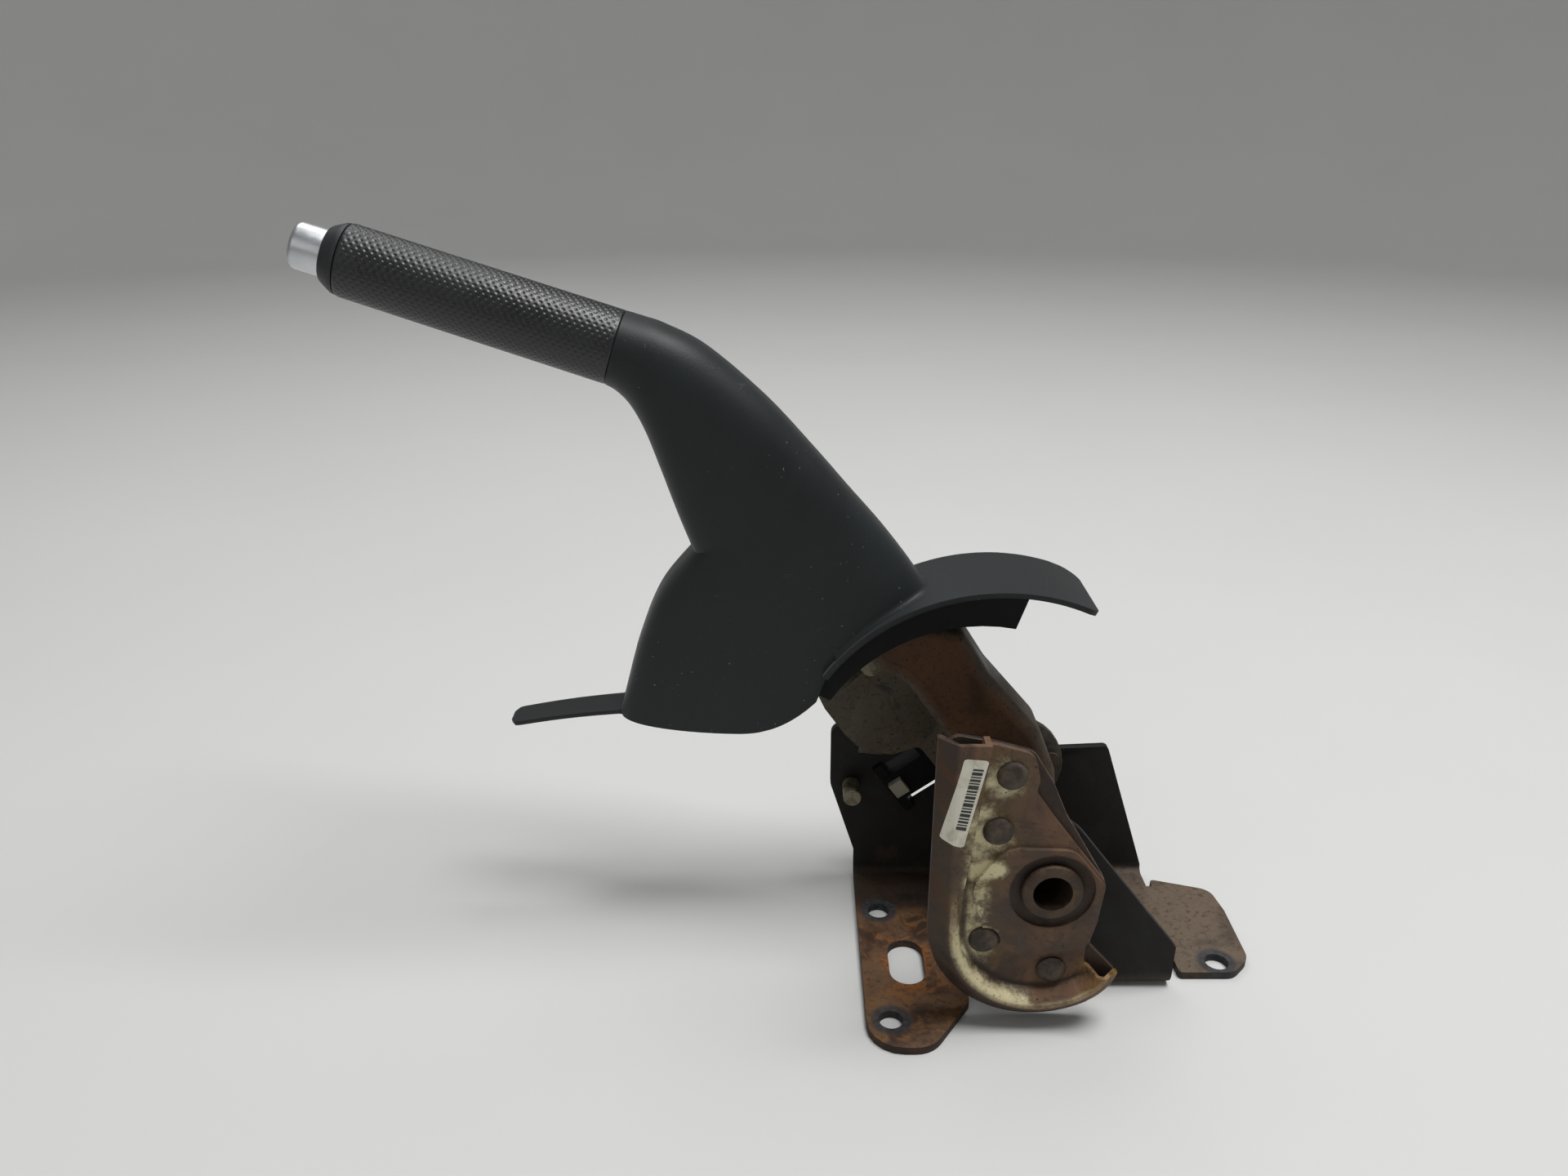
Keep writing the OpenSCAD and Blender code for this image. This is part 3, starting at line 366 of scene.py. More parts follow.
def moulded_plastic(name, deep, light, roughness, dust=0.0, gloss=0.5, sheen=0.0):
    """Grained plastic with a faint bloom, and specks of dust where it is asked for."""
    s = Shade(name)
    cloud = s.noise(11, 5, 0.6, 0.4)
    grain = s.noise(1500, 2, 0.5)
    colour = s.mix(s.span(cloud, 0.3, 0.7), deep, light)
    if dust:
        speck = s.span(s.noise(640, 2, 0.4), 0.745, 0.78)
        speck = s.math("MULTIPLY", speck, s.span(s.noise(20, 3), 0.42, 0.6))
        colour = s.mix(s.math("MULTIPLY", speck, dust), colour, "#8f9698")
        scratch = s.noise(55, 3, 0.6, 0.6, place=s.stretch(1, 1, 9))
        scratch = s.math("MULTIPLY", s.span(scratch, 0.7, 0.74), 0.25 * dust)
        colour = s.mix(scratch, colour, "#6d7476")
    s.set("Base Color", colour)
    s.set("Specular IOR Level", gloss)
    s.set("Sheen Weight", sheen)
    s.set("Roughness", s.span(cloud, 0.3, 0.7, roughness - 0.04, roughness + 0.06))
    s.bump(grain, 0.00012, 0.4)
    s.bump(s.cells(900), 0.0001, 0.25)
    return s.material


def soft_cover():
    """Soft grip cover with a sheen that handling has polished in places."""
    s = Shade("soft_cover")
    cloud = s.noise(26, 5, 0.6, 0.5)
    grain = s.noise(1300, 3, 0.6)
    s.set("Base Color", s.mix(s.span(cloud, 0.35, 0.65), "#0b0c0d", "#151618"))
    s.set("Roughness", s.span(cloud, 0.3, 0.7, 0.3, 0.44))
    s.set("Specular IOR Level", 0.6)
    s.bump(grain, 0.00008, 0.35)
    return s.material


def label_paper(name, light, dark):
    """Paper or print with a little dirt."""
    s = Shade(name, roughness=0.6)
    s.set("Base Color", s.mix(s.span(s.noise(120, 6, 0.65, 0.5), 0.45, 0.72), light, dark))
    s.bump(s.noise(700, 3), 0.00005, 0.3)
    return s.material


def pale_floor():
    """Plain pale floor with the faintest unevenness."""
    s = Shade("pale_floor", roughness=0.75)
    s.set("Base Color", s.mix(s.noise(3, 3), "#c9c9c7", "#cfcfcd"))
    return s.material


# Mesh building blocks
def mesh_object(name, points, faces, material, smooth=True):
    """New object from points and faces."""
    mesh = bpy.data.meshes.new(name)
    mesh.from_pydata([tuple(p) for p in points], [], faces)
    mesh.polygons.foreach_set("use_smooth", [smooth] * len(mesh.polygons))
    mesh.materials.append(material)
    made = bpy.data.objects.new(name, mesh)
    bpy.context.scene.collection.objects.link(made)
    return made


def grid_faces(rows, columns, closed):
    """Quads between rows of points, closed round each row if asked."""
    faces = []
    for i in range(rows - 1):
        low = i * columns
        high = low + columns
        for j in range(columns if closed else columns - 1):
            after = (j + 1) % columns
            faces.append((low + j, low + after, high + after, high + j))
    return faces


def joining_faces(rows, columns):
    """Quads from the last row of points back to the first."""
    end = (rows - 1) * columns
    return [(end + j, end + (j + 1) % columns, (j + 1) % columns, j) for j in range(columns)]


# Grip cover with staggered dimples
DIMPLES_ROUND = 27
DIMPLE_PITCH = 0.0016
DIMPLE_R = 0.00088
DIMPLE_DEPTH = 0.00034
STEPS_ROUND = 10
STEPS_ALONG = 4
COVER_GAP = 0.00002
COVER_START = 0.0009
COVER_ENDS = 0.0024
PLAIN_BAND = 0.001
FADE_BAND = 0.0015
# Rounded ends, as the distance from the end and from the full radius
COVER_REAR = ((COVER_GAP, 0.0008), (0.0003, 0.0002))
COVER_FRONT = ((0.0004, 0.0004), (0.0, 0.0012))


def dimple(arc, along, pitch):
    """Depth of the cover at a place measured round and along it."""
    row = round(along / DIMPLE_PITCH)
    best = DIMPLE_R
    for k in (row - 1, row, row + 1):
        shift = 0.5 * (k % 2)
        across = (arc / pitch - shift + 0.5) % 1 - 0.5
        best = min(best, math.hypot(across * pitch, along - k * DIMPLE_PITCH))
    return DIMPLE_DEPTH * (1 - (best / DIMPLE_R) ** 2) ** 1.5


def cover_profile():
    """Stations of the cover as (along, radius, share of dimple depth)."""
    straight = GRIP_LENGTH - COVER_ENDS
    count = round(straight / (DIMPLE_PITCH / STEPS_ALONG))
    start = [(COVER_GAP, GRIP_BORE_R, 0)]
    start += [(along, GRIP_REAR_R - inset, 0) for along, inset in COVER_REAR]
    end = [(GRIP_LENGTH - along, GRIP_FRONT_R - inset, 0) for along, inset in COVER_FRONT]
    end.append((GRIP_LENGTH, GRIP_BORE_R, 0))
    body = []
    for i in range(count + 1):
        along = COVER_START + straight * i / count
        radius = GRIP_REAR_R + (GRIP_FRONT_R - GRIP_REAR_R) * along / GRIP_LENGTH
        room = min(along, GRIP_LENGTH - along)
        body.append((along, radius, min(1, max(0, (room - PLAIN_BAND) / FADE_BAND))))
    return start + body + end


def make_grip_cover(material):
    """Closed sleeve with a bore, dimpled all over but for its ends."""
    columns = DIMPLES_ROUND * STEPS_ROUND
    points = []
    rows = cover_profile()
    for along, radius, share in rows:
        pitch = 2 * math.pi * radius / DIMPLES_ROUND
        for j in range(columns):
            angle = 2 * math.pi * j / columns
            depth = share * dimple(angle * radius, along, pitch) if share else 0
            out = GRIP_UP * math.cos(angle) + GRIP_SIDE * math.sin(angle)
            points.append(GRIP_SEAT + GRIP_ALONG * along + out * (radius - depth))
    faces = grid_faces(len(rows), columns, True) + joining_faces(len(rows), columns)
    cover = mesh_object("grip_cover", points, faces, material)
    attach(cover, "lever")
    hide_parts("grip_sleeve")


# Moulded shroud, in millimetres from the pivot, with angles in degrees.
# A station is the front's x and z, the back's x and z, half the width, and how square it is.
NECK = [
    (-187.2, 197.4, -174.5, 228.9, 16.8, 2.1),
    (-181.6, 191.4, -165.6, 225.8, 17.4, 2.2),
    (-175.6, 180.3, -148, 216.4, 18.8, 2.6),
    (-169.2, 162.4, -122.8, 194.6, 19.8, 2.9),
    (-162.6, 142.9, -101.8, 171.7, 20.4, 3.1),
    (-156.2, 125.8, -85.2, 152.3, 20.9, 3.3),
]
SKIRT = [
    (-156.2, 125.8, -85.2, 152.3, 20.9, 3.3),
    (-172.2, 105.6, -71, 136.2, 21.6, 3.5),
    (-182.5, 80.5, -59.2, 121.4, 22.1, 3.7),
    (-189, 57, -52, 111.4, 22.4, 3.8),
    (-193, 41, -49, 106.5, 22.5, 4),
]
WALL = 2.5
RING = 128
NECK_STEPS = 8
SKIRT_STEPS = 10
PULL_POWER = 1.5
BACK_SQUARE = 0.45
CORNER_SPREAD = 0.9
SPLIT_ANGLE = 32

# Hem: its lowest place, and the reach, rise and power of its curve before and behind it
HEM_LOW = (-136, 39.7)
HEM_FRONT = (57, 4.4, 1.6)
HEM_REAR = (39, 20.0, 2.2)
HEM_MEETS_GUARD = -97
HEM_BLEND = 1.5
HEM_IN_GUARD = 0.3

# Guard: a round sheet with a small corner on the near side and a large one on the far side
GUARD_C = (-17.0, 14.5)
GUARD_R = 98.0
GUARD_T = 2.6
GUARD_HALF = 25.5
GUARD_TIP = 25.9
GUARD_LEFT = 145
GUARD_CORNERS = (4, 13)
GUARD_GRID = (140, 45)
GUARD_OPEN_X = -40

# Rounding of a sheet's rim, and the fold in radians from which an edge belongs to it
RIM_ROUND = 0.8
RIM_FOLD = 0.9

# Fillet between the skirt and the guard
FILLET_R = 2.4
FILLET_SINK = 2.3
FILLET_LEFT = -93
FILLET_STEPS = (0, 0.25, 0.5, 0.75, 1)
FILLET_ROOT = 1

# Ribs under the guard: side and left end, then the right end's angles, the depth and its slope
RIB_NEAR = (-18.5, 152)
RIB_FAR = (16, 112)
RIB_RIGHT = (84.6, 82.0)
RIB_R = (77.6, 0.135)
RIB_STEPS = 12

# Tongue: its ends, half width, corner, narrowing, thickness, and the height along it
TONGUE = (-246.5, -189.5)
TONGUE_HALF = 9.2
TONGUE_CORNER = 4
TONGUE_NARROWS = 1.2
TONGUE_T = 2.2
TONGUE_GRID = (29, 13)
TONGUE_END_Z = 37.6
TONGUE_RISE = 8.0
TONGUE_BOW = 0.9
TONGUE_ROOT = 2.5


def at_pivot(x, y, z):
    """Place in the row frame from millimetres off the pivot."""
    return Vector((x / 1000, y / 1000, PIVOT_Z + z / 1000))


def station(stations, t):
    """Station on a smooth curve through the given ones."""
    i = min(int(t), len(stations) - 2)
    f = t - i
    p1 = stations[i]
    p2 = stations[i + 1]
    p0 = stations[i - 1] if i else [2 * a - b for a, b in zip(p1, p2)]
    p3 = stations[i + 2] if i + 2 < len(stations) else [2 * b - a for a, b in zip(p1, p2)]
    return [
        b + 0.5 * f * ((c - a) + f * ((2 * a - 5 * b + 4 * c - d) + f * (3 * b - a - 3 * c + d)))
        for a, b, c, d in zip(p0, p1, p2, p3)
    ]


def guard_z(x):
    """Height of the guard's top over a place."""
    return GUARD_C[1] + math.sqrt(GUARD_R ** 2 - (x - GUARD_C[0]) ** 2)


def hem_z(x):
    """Height of the hem: a belly in front, and the guard behind it."""
    away = x - HEM_LOW[0]
    reach, rise, power = HEM_REAR if away > 0 else HEM_FRONT
    belly = HEM_LOW[1] + rise * min(1.0, abs(away) / reach) ** power
    blend = min(1.0, max(0.0, (x - HEM_MEETS_GUARD) / HEM_BLEND))
    if blend == 0:
        return belly
    return belly + (guard_z(x) - GUARD_T + HEM_IN_GUARD - belly) * blend


def signed_power(v, e):
    """Power of a value that keeps its sign."""
    return math.copysign(abs(v) ** e, v)


def squareness(square, side):
    """Exponent of the outline: the back of the moulding is rounder than its front."""
    return square if side < 0 else 2 + (square - 2) * BACK_SQUARE


def shroud_ring(s, wall, pull):
    """Points of one ring of the shroud, moved in by the wall and pulled down onto the hem."""
    front = Vector((s[0], s[1]))
    back = Vector((s[2], s[3]))
    inward = (back - front).normalized() * wall
    front = front + inward
    back = back - inward
    points = []
    for j in range(RING):
        quarter, u = divmod(4 * j / RING, 1)
        spread = CORNER_SPREAD * math.sin(2 * math.pi * u) / (2 * math.pi)
        angle = math.pi / 2 * (quarter + u - spread)
        side = math.cos(angle) if abs(math.cos(angle)) > 1e-9 else 0.0
        e = 2 / squareness(s[5], side)
        q = (1 + signed_power(side, e)) / 2
        p = front + (back - front) * q
        last = SKIRT[-1]
        drop = last[1] + (last[3] - last[1]) * q - hem_z(last[0] + (last[2] - last[0]) * q)
        y = (s[4] - wall) * signed_power(math.sin(angle), e)
        points.append(at_pivot(p.x, y, p.y - pull * drop))
    return points


def shroud_rings(wall):
    """Rings from the grip down to the hem, moved in by the wall."""
    radius = GRIP_REAR_R * 1000
    seat = Vector((GRIP_SEAT.x, GRIP_SEAT.z - PIVOT_Z)) * 1000
    up = Vector((GRIP_UP.x, GRIP_UP.z)) * radius
    neck = [(*(seat - up), *(seat + up), radius, 2)] + NECK
    rings = []
    for t in range(NECK_STEPS * (len(neck) - 1)):
        rings.append(shroud_ring(station(neck, t / NECK_STEPS), wall, 0))
    last = SKIRT_STEPS * (len(SKIRT) - 1)
    for t in range(last + 1):
        rings.append(shroud_ring(station(SKIRT, t / SKIRT_STEPS), wall, (t / last) ** PULL_POWER))
    return rings


def make_shell(material):
    """Hollow neck and skirt, open at the grip and at the hem."""
    rings = shroud_rings(0) + shroud_rings(WALL)[::-1]
    points = [p for ring in rings for p in ring]
    faces = grid_faces(len(rings), RING, True) + joining_faces(len(rings), RING)
    return mesh_object("shroud_moulding", points, faces, material)


def in_shroud(x, y):
    """Whether a place is inside the middle of the shroud's wall at its hem."""
    front, back = SKIRT[-1][0] + WALL / 2, SKIRT[-1][2] - WALL / 2
    side = 2 * (x - front) / (back - front) - 1
    if abs(side) >= 1:
        return False
    n = squareness(SKIRT[-1][5], side)
    return abs(y) < (SKIRT[-1][4] - WALL / 2) * (1 - abs(side) ** n) ** (1 / n)


def thick_sheet(name, points, faces, thick, outer, material):
    """Sheet given a thickness downwards, with the rim that is outside rounded."""
    made = bmesh.new()
    verts = [made.verts.new(p) for p in points]
    for face in faces:
        made.faces.new([verts[i] for i in face])
    bmesh.ops.recalc_face_normals(made, faces=made.faces)
    if sum(f.normal.z for f in made.faces) < 0:
        bmesh.ops.reverse_faces(made, faces=made.faces)
    loose = [v for v in made.verts if not v.link_faces]
    bmesh.ops.delete(made, geom=loose, context="VERTS")
    bmesh.ops.solidify(made, geom=made.faces[:], thickness=thick / 1000)
    bmesh.ops.recalc_face_normals(made, faces=made.faces)
    rim = []
    for edge in made.edges:
        folded = len(edge.link_faces) == 2 and edge.calc_face_angle() > RIM_FOLD
        if folded and all(outer(v.co) for v in edge.verts):
            rim.append(edge)
    bmesh.ops.bevel(
        made,
        geom=rim,
        offset=RIM_ROUND / 1000,
        offset_type="OFFSET",
        segments=3,
        profile=0.5,
        affect="EDGES",
        clamp_overlap=True,
    )
    piece = mesh_object(name, [], [], material)
    made.to_mesh(piece.data)
    made.free()
    piece.data.polygons.foreach_set("use_smooth", [True] * len(piece.data.polygons))
    return piece


def make_guard(material):
    """Round guard behind the skirt and along its sides, left open where the skirt is hollow."""
    rows, columns = GUARD_GRID
    points = []
    for i in range(rows):
        for j in range(columns):
            y = GUARD_HALF * (2 * j / (columns - 1) - 1)
            corner = GUARD_CORNERS[0] if y < 0 else GUARD_CORNERS[1]
            past = max(0.0, abs(y) - (GUARD_HALF - corner))
            tip = GUARD_TIP - corner + math.sqrt(corner ** 2 - past ** 2)
            right = math.degrees(math.acos((tip - GUARD_C[0]) / GUARD_R))
            angle = math.radians(right + (GUARD_LEFT - right) * i / (rows - 1))
            x = GUARD_C[0] + GUARD_R * math.cos(angle)
            points.append((x, y, GUARD_C[1] + GUARD_R * math.sin(angle)))
    faces = []
    for face in grid_faces(rows, columns, False):
        x = sum(points[i][0] for i in face) / 4
        y = sum(points[i][1] for i in face) / 4
        if not in_shroud(x, y):
            faces.append(face)
    outside = SKIRT[-1][4] / 1000

    def outer(place):
        return abs(place.y) > outside or place.x > GUARD_OPEN_X / 1000

    points = [at_pivot(*p) for p in points]
    return thick_sheet("guard", points, faces, GUARD_T, outer, material)


def make_fillet(material):
    """Fillet between the shroud's outer wall and the guard's top."""
    rings = shroud_rings(0)
    reach = [j for j in range(RING) if rings[-1][j].x > FILLET_LEFT / 1000]
    order = [j for j in reach if j >= RING // 2] + [j for j in reach if j < RING // 2]
    root = FILLET_ROOT / 1000
    points = []
    for j in order:
        hem = rings[-1][j]
        wall = (rings[-3][j] - hem).normalized()
        tangent = rings[-1][(j + 1) % RING] - rings[-1][j - 1]
        outward = Vector((tangent.y, -tangent.x, 0)).normalized()
        corner = hem + wall * (FILLET_SINK / 1000) / wall.z
        high = corner + wall * (FILLET_R / 1000)
        low = corner + outward * (FILLET_R / 1000)
        low.z = PIVOT_Z + guard_z(low.x * 1000) / 1000
        for u in FILLET_STEPS:
            points.append(high * (1 - u) ** 2 + corner * 2 * u * (1 - u) + low * u ** 2)
        points.append(corner - outward * root - wall * root)
    columns = len(FILLET_STEPS) + 1
    faces = grid_faces(len(order), columns, True)
    faces.append(tuple(range(columns)))
    faces.append(tuple(range(len(points) - columns, len(points))))
    return mesh_object("fillet", points, faces, material)


def make_rib(name, place, material):
    """Stiffening rib under the guard, deepest at its right end."""
    y, left = place
    low, high = RIB_RIGHT
    deep, slope = RIB_R
    outline = []
    for k in range(RIB_STEPS + 1):
        a = low + (left - low) * k / RIB_STEPS
        outline.append((math.radians(a), deep + slope * (a - low)))
    for k in range(RIB_STEPS + 1):
        a = left + (high - left) * k / RIB_STEPS
        outline.append((math.radians(a), GUARD_R - GUARD_T / 2))
    points = []
    for side in (y, y + WALL):
        for a, r in outline:
            x = GUARD_C[0] + r * math.cos(a)
            points.append(at_pivot(x, side, GUARD_C[1] + r * math.sin(a)))
    count = len(outline)
    faces = [tuple(range(count)), tuple(reversed(range(count, 2 * count)))]
    faces += [(k, (k + 1) % count, count + (k + 1) % count, count + k) for k in range(count)]
    return mesh_object(name, points, faces, material, smooth=False)


def make_tongue(material):
    """Thin tongue in front of the hem, drooping to its end."""
    rows, columns = TONGUE_GRID
    points = []
    for i in range(rows):
        s = i / (rows - 1)
        x = TONGUE[0] + (TONGUE[1] - TONGUE[0]) * s
        past = max(0.0, TONGUE_CORNER - (x - TONGUE[0]))
        half = TONGUE_HALF - TONGUE_NARROWS * (1 - s)
        half += math.sqrt(TONGUE_CORNER ** 2 - past ** 2) - TONGUE_CORNER
        z = TONGUE_END_Z + TONGUE_RISE * s + TONGUE_BOW * math.sin(math.pi * s)
        points += [at_pivot(x, half * (2 * j / (columns - 1) - 1), z) for j in range(columns)]

    def outer(place):
        return place.x < (TONGUE[1] - TONGUE_ROOT) / 1000

    faces = grid_faces(rows, columns, False)
    return thick_sheet("tongue", points, faces, TONGUE_T, outer, material)


def turn_outwards(piece):
    """Turns every closed part of a piece so that its faces look outwards."""
    made = bmesh.new()
    made.from_mesh(piece.data)
    bmesh.ops.recalc_face_normals(made, faces=made.faces)
    made.to_mesh(piece.data)
    made.free()


def make_shroud(material, rib_shade):
    """Whole moulding as one piece, with its ribs in a near-black plastic that is painted shade under
    the guard.
    """
    parts = [
        make_shell(material),
        make_guard(material),
        make_fillet(material),
        make_tongue(material),
        make_rib("rib_near", RIB_NEAR, rib_shade),
        make_rib("rib_far", RIB_FAR, rib_shade),
    ]
    with bpy.context.temp_override(active_object=parts[0], selected_editable_objects=parts):
        bpy.ops.object.join()
    piece = parts[0]
    turn_outwards(piece)
    split = piece.modifiers.new("sharp", "EDGE_SPLIT")
    split.split_angle = math.radians(SPLIT_ANGLE)
    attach(piece, "lever")
    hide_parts("shroud")


# Springs as coils: radius to the wire's middle, wire and turns
SPRING_SEAT = 0.06402
BUTTON_COIL = (0.0045, 0.0012, 8)
BUTTON_COIL_LENGTH = 0.03596
PLUNGER_COIL = (0.0024, 0.0006, 4)
STEPS_PER_TURN = 24
WIRE_SIDES = 10


def make_spring(name, node, body, base, axis, length, coil_sizes, material):
    """Round-wire coil standing for a CAD spring, from its base along an axis."""
    radius, wire, turns = coil_sizes
    steps = turns * STEPS_PER_TURN
    side = axis.orthogonal().normalized()
    other = axis.cross(side)
    points = []
    for i in range(steps + 1):
        turn = -2 * math.pi * turns * i / steps
        out = side * math.cos(turn) + other * math.sin(turn)
        centre = base + axis * (wire / 2 + (length - wire) * i / steps)
        for k in range(WIRE_SIDES):
            b = 2 * math.pi * k / WIRE_SIDES
            across = out * (radius + wire / 2 * math.cos(b))
            points.append(centre + across + axis * (wire / 2 * math.sin(b)))
    faces = grid_faces(steps + 1, WIRE_SIDES, True)
    faces.append(tuple(reversed(range(WIRE_SIDES))))
    faces.append(tuple(range(len(points) - WIRE_SIDES, len(points))))
    coil = mesh_object(name, points, faces, material)
    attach(coil, body)
    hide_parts(node)
    return coil


def make_springs(material):
    """Coil behind the button's stem, and coil behind the switch's plunger."""
    base = GRIP_SEAT + GRIP_ALONG * SPRING_SEAT
    length = BUTTON_COIL_LENGTH
    coil = make_spring(
        "button_coil", "button_spring", "lever", base, GRIP_ALONG, length, BUTTON_COIL, material
    )
    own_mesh(coil)
    low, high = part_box("plunger_spring")
    middle = (low + high) / 2
    base = Vector((middle.x, low.y, middle.z))
    length = high.y - low.y
    axis = Vector((0, 1, 0))
    coil = make_spring(
        "plunger_coil", "plunger_spring", "base", base, axis, length, PLUNGER_COIL, material
    )
    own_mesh(coil)


# Blank label with plain bars on the cable pocket, folded over the rim's crease
LABEL_TOP = ((-0.0426, 0.0695), (-0.0325, 0.0686))
LABEL_FOOT = ((-0.0502, 0.0290), (-0.0406, 0.0272))
LABEL_ROUND = 0.12
LABEL_LIFT = 0.00012
LABEL_THICK = 0.00008
LABEL_GRID = (90, 24)
CREASE_WIDE = 0.0075
CREASE_X = QUADRANT_OUTER_X + CREASE_WIDE
CREASE_EASE = 0.0015
CREASE_DROP = 0.0004
RIM_EDGE_DROP = 0.0009
INK_LIFT = 0.00026
INK_THICK = 0.00007
BARS_START = 0.1
BARS_SPAN = 0.72
BARS_ACROSS = (0.45, 0.88)
BARS_GAP = 0.55
BARS = [0.7, 1.2, 0.5, 0.9, 0.5, 1.5, 0.7, 0.5, 1.1, 0.6, 1.4, 0.5, 0.8, 1.2, 0.6, 0.9, 0.5, 1.3]


def label_point(u, v, lift):
    """Point on the label, u down its length and v across it, lifted off the metal."""
    sides = [
        [LABEL_TOP[k][i] + (LABEL_FOOT[k][i] - LABEL_TOP[k][i]) * u for i in (0, 1)]
        for k in (0, 1)
    ]
    x = sides[0][0] + (sides[1][0] - sides[0][0]) * v
    z = sides[0][1] + (sides[1][1] - sides[0][1]) * v
    fold = max(0.0, CREASE_X - x)
    ease = max(0.0, CREASE_X + CREASE_EASE - x) / CREASE_EASE
    y = QUADRANT_FRONT - lift + min(CREASE_DROP, CREASE_DROP * ease)
    y += fold * (RIM_RISE - RIM_EDGE_DROP) / CREASE_WIDE
    return Vector((x, y, PIVOT_Z + z))


def label_patch(name, u0, u1, v0, v1, lift, material, rounding=0.0):
    """Patch between shares of the label's length and width, with rounded corners if asked."""
    rows = max(2, round((u1 - u0) * LABEL_GRID[0]))
    columns = max(2, round((v1 - v0) * LABEL_GRID[1]))
    points = []
    for i in range(rows):
        end = min(i, rows - 1 - i) / (rows - 1)
        near_end = max(0.0, 1 - end * 4 / rounding) if rounding else 0.0
        trim = rounding * (1 - math.sqrt(1 - near_end ** 2))
        for j in range(columns):
            v = trim + (1 - 2 * trim) * j / (columns - 1)
            u = u0 + (u1 - u0) * i / (rows - 1)
            points.append(label_point(u, v0 + (v1 - v0) * v, lift))
    return mesh_object(name, points, grid_faces(rows, columns, False), material, smooth=False)


def make_label(paper, print_ink):
    """Paper sheet, and a row of plain bars on it."""
    sheet = label_patch("label", 0, 1, 0, 1, LABEL_LIFT, paper, LABEL_ROUND)
    thick = sheet.modifiers.new("thickness", "SOLIDIFY")
    thick.thickness = LABEL_THICK
    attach(sheet, "lever")
    at = BARS_START
    unit = BARS_SPAN / (sum(BARS) * (1 + BARS_GAP))
    gap = BARS_GAP * sum(BARS) / len(BARS)
    bars = []
    for wide in BARS:
        bars.append(label_patch("bar", at, at + wide * unit, *BARS_ACROSS, INK_LIFT, print_ink))
        at += (wide + gap) * unit
    with bpy.context.temp_override(active_object=bars[0], selected_editable_objects=bars):
        bpy.ops.object.join()
    bars[0].name = "label_bars"
    ink = bars[0].modifiers.new("thickness", "SOLIDIFY")
    ink.thickness = INK_THICK
    ink.offset = 1
    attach(bars[0], "lever")


# Materials on the CAD nodes
def dress_nodes():
    """Gives each CAD node its material."""
    steel = plain_metal("dull_steel", "#5f5b54", "#332f2b", 0.5)
    pivot = plain_metal("pivot_rust", "#5d4a39", "#2f241b", 0.55, 0.45, bore=PIVOT_BORE_R)
    rivet = plain_metal("dark_rivet", "#564a3e", "#2c241d", 0.6, 0.25, 160)
    zinc = plain_metal("dirty_zinc", "#8d8570", "#4a4437", 0.48, 0.6, 130)
    tube = plain_metal("tube_steel", "#5a5752", "#35332f", 0.45)
    wire = plain_metal("spring_wire", "#9a9c9e", "#6a6c6e", 0.35)
    # Darker copy of the rust for the inner plate, which sits behind the outer one: painted shade.
    inner = plain_metal("inner_rust_and_shade", "#3a2a20", "#20170f", 0.68, 0.15)
    # The near shell's zinc is darker than the far plate's, and its panel browner: painted shade from
    # the guard above, with browner corrosion on the panel.
    near_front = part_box("arm_near_shell")[0].y
    near_arm_with_shade = corroded_zinc("near_zinc_and_shade", "#4a3c2b", "#31261a", "#1d150d", near_front)
    black = moulded_plastic("switch_plastic", "#050505", "#090909", 0.6, gloss=0.15)
    nylon = moulded_plastic("nylon", "#b9b29a", "#d2ccb8", 0.5)
    shroud = moulded_plastic(
        "shroud_plastic", "#131718", "#191e1f", 0.48, dust=0.5, gloss=0.3, sheen=0.1
    )
    looks = {
        "base_bracket": worn_black(),
        "pivot_bush_near": nylon,
        "pivot_bush_far": nylon,
        "ratchet_sector": steel,
        "ratchet_rivets": rivet,
        "stop_pin": zinc,
        "switch_housing": black,
        "switch_terminals": plain_metal("brass", "#b0914f", "#7d6332", 0.35),
        "switch_plunger": moulded_plastic("plunger_plastic", "#7d786b", "#9a9484", 0.5),
        "plunger_spring": wire,
        "pivot_tube": pivot,
        "spacer_sleeve": pivot,
        "pivot_washers": zinc,
        "retaining_ring": steel,
        "arm_far_plate": corroded_zinc("far_zinc", "#554b39", "#3d3527", "#1f1a13"),
        "arm_near_shell": near_arm_with_shade,
        "handle_tube": tube,
        "grip_collar": moulded_plastic("collar_plastic", "#17191a", "#1e2022", 0.48),
        "shroud": shroud,
        "quadrant_outer_plate": rusted_plate(),
        "quadrant_inner_plate": inner,
        "quadrant_rivets": rivet,
        "pawl_pin": zinc,
        "pawl_clip": steel,
        "pawl": steel,
        "release_button": satin_alloy(),
        "release_rod": tube,
        "spring_seat": tube,
        "button_spring": wire,
    }
    for name, material in looks.items():
        mesh = nodes[name].data
        mesh.materials.clear()
        mesh.materials.append(material)


# Edge radius of the sheet metal, and what counts as an edge
EDGE_R = {
    "base_bracket": 0.0005,
    "arm_far_plate": 0.0004,
    "quadrant_outer_plate": 0.0005,
    "quadrant_inner_plate": 0.0005,
    "ratchet_sector": 0.0003,
    "pawl": 0.0003,
}
EDGE_ANGLE = 50
SMOOTH_ANGLE = 35
WELD_GAP = 0.000002


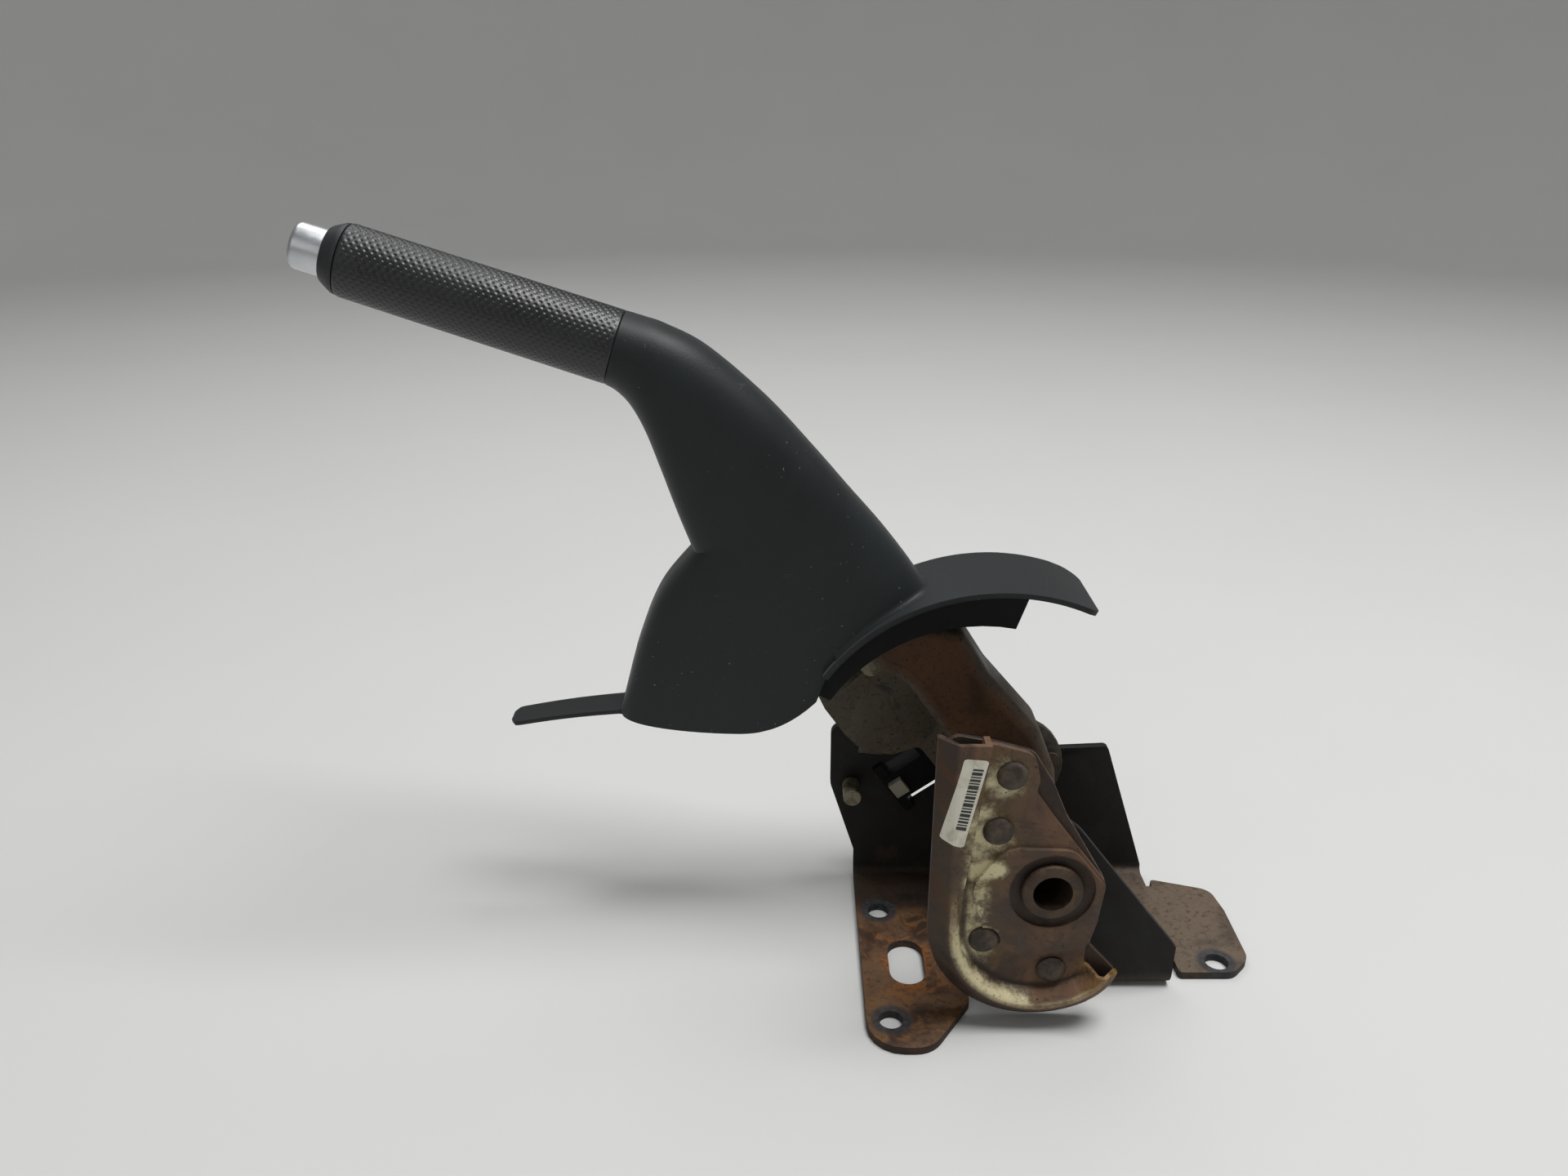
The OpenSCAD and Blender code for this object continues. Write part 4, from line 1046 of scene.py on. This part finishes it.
def soften_nodes():
    """Shades the CAD meshes smoothly, and rounds the edges of sheet metal and colours them lighter:
    partly wear, partly a painted highlight.
    """
    edge_wear_highlight = plain_metal("edge_wear_and_highlight", "#6e5a45", "#3a2a1f", 0.5, 0.35, 140)
    for name, piece in nodes.items():
        piece.data.polygons.foreach_set("use_smooth", [True] * len(piece.data.polygons))
        weld = piece.modifiers.new("weld", "WELD")
        weld.merge_threshold = WELD_GAP
        if name in EDGE_R:
            bevel = piece.modifiers.new("edge", "BEVEL")
            bevel.width = EDGE_R[name]
            bevel.segments = 2
            bevel.limit_method = "ANGLE"
            bevel.angle_limit = math.radians(EDGE_ANGLE)
            # Lighter colour on the rounded edges: partly wear, partly a painted highlight.
            piece.data.materials.append(edge_wear_highlight)
            bevel.material = 1
        split = piece.modifiers.new("sharp", "EDGE_SPLIT")
        split.split_angle = math.radians(SMOOTH_ANGLE)


# Floor and light
FLOOR_R = 2.9
FLOOR_HUB_R = 0.001
FLOOR_SIDES = 96
SWEEP_R = 1.2
SWEEP_STEPS = 12
WALL_TOP = 3.2
WORLD_COLOUR = (0.95, 0.97, 1, 1)
WORLD_STRENGTH = 0.23
LAMP_TARGET = Vector((-0.1, -0.02, 0.15))
LAMPS = (
    ("key", (0.6, -0.2, 2.4), 1.1, 54),
    ("fill", (-1.5, -2.2, 1.4), 1.6, 5),
    ("back", (-0.6, 1.0, 2.0), 1.2, 10),
)


def make_floor():
    """Pale round floor that sweeps up on all sides."""
    profile = [(FLOOR_HUB_R, 0.0), (FLOOR_R / 2, 0.0), (FLOOR_R, 0.0)]
    for a in range(1, SWEEP_STEPS + 1):
        turn = math.pi / 2 * a / SWEEP_STEPS
        profile.append((FLOOR_R + SWEEP_R * math.sin(turn), SWEEP_R * (1 - math.cos(turn))))
    profile.append((FLOOR_R + SWEEP_R, WALL_TOP))
    points = []
    for r, z in profile:
        for k in range(FLOOR_SIDES):
            turn = 2 * math.pi * k / FLOOR_SIDES
            points.append((r * math.cos(turn), r * math.sin(turn), z))
    faces = [tuple(reversed(f)) for f in grid_faces(len(profile), FLOOR_SIDES, True)]
    faces.append(tuple(range(FLOOR_SIDES)))
    mesh_object("floor", points, faces, pale_floor())


def make_light():
    """Pale surroundings, a large key lamp, a fill, and a lamp behind."""
    world = bpy.data.worlds.new("studio")
    world.use_nodes = True
    sky = world.node_tree.nodes["Background"].inputs
    sky["Color"].default_value = WORLD_COLOUR
    sky["Strength"].default_value = WORLD_STRENGTH
    bpy.context.scene.world = world
    for name, place, size, watts in LAMPS:
        data = bpy.data.lights.new(name, "AREA")
        data.size = size
        data.energy = watts
        light = bpy.data.objects.new(name, data)
        light.location = place
        aim = LAMP_TARGET - Vector(place)
        light.rotation_euler = aim.to_track_quat("-Z", "Y").to_euler()
        bpy.context.scene.collection.objects.link(light)


make_camera()
dress_nodes()
soften_nodes()
make_grip_cover(soft_cover())
make_shroud(
    nodes["shroud"].data.materials[0],
    # Near-black plastic on the ribs under the guard: painted shade.
    moulded_plastic("rib_painted_shade", "#080909", "#0c0e0e", 0.6, gloss=0.2),
)
make_springs(plain_metal("coil_wire", "#9a9c9e", "#6a6c6e", 0.35))
make_label(
    label_paper("label_paper", "#d9d6c6", "#b9b49c"),
    label_paper("label_print", "#2b2a28", "#3d3b37"),
)
make_floor()
make_light()
bpy.context.scene.view_settings.view_transform = "Standard"
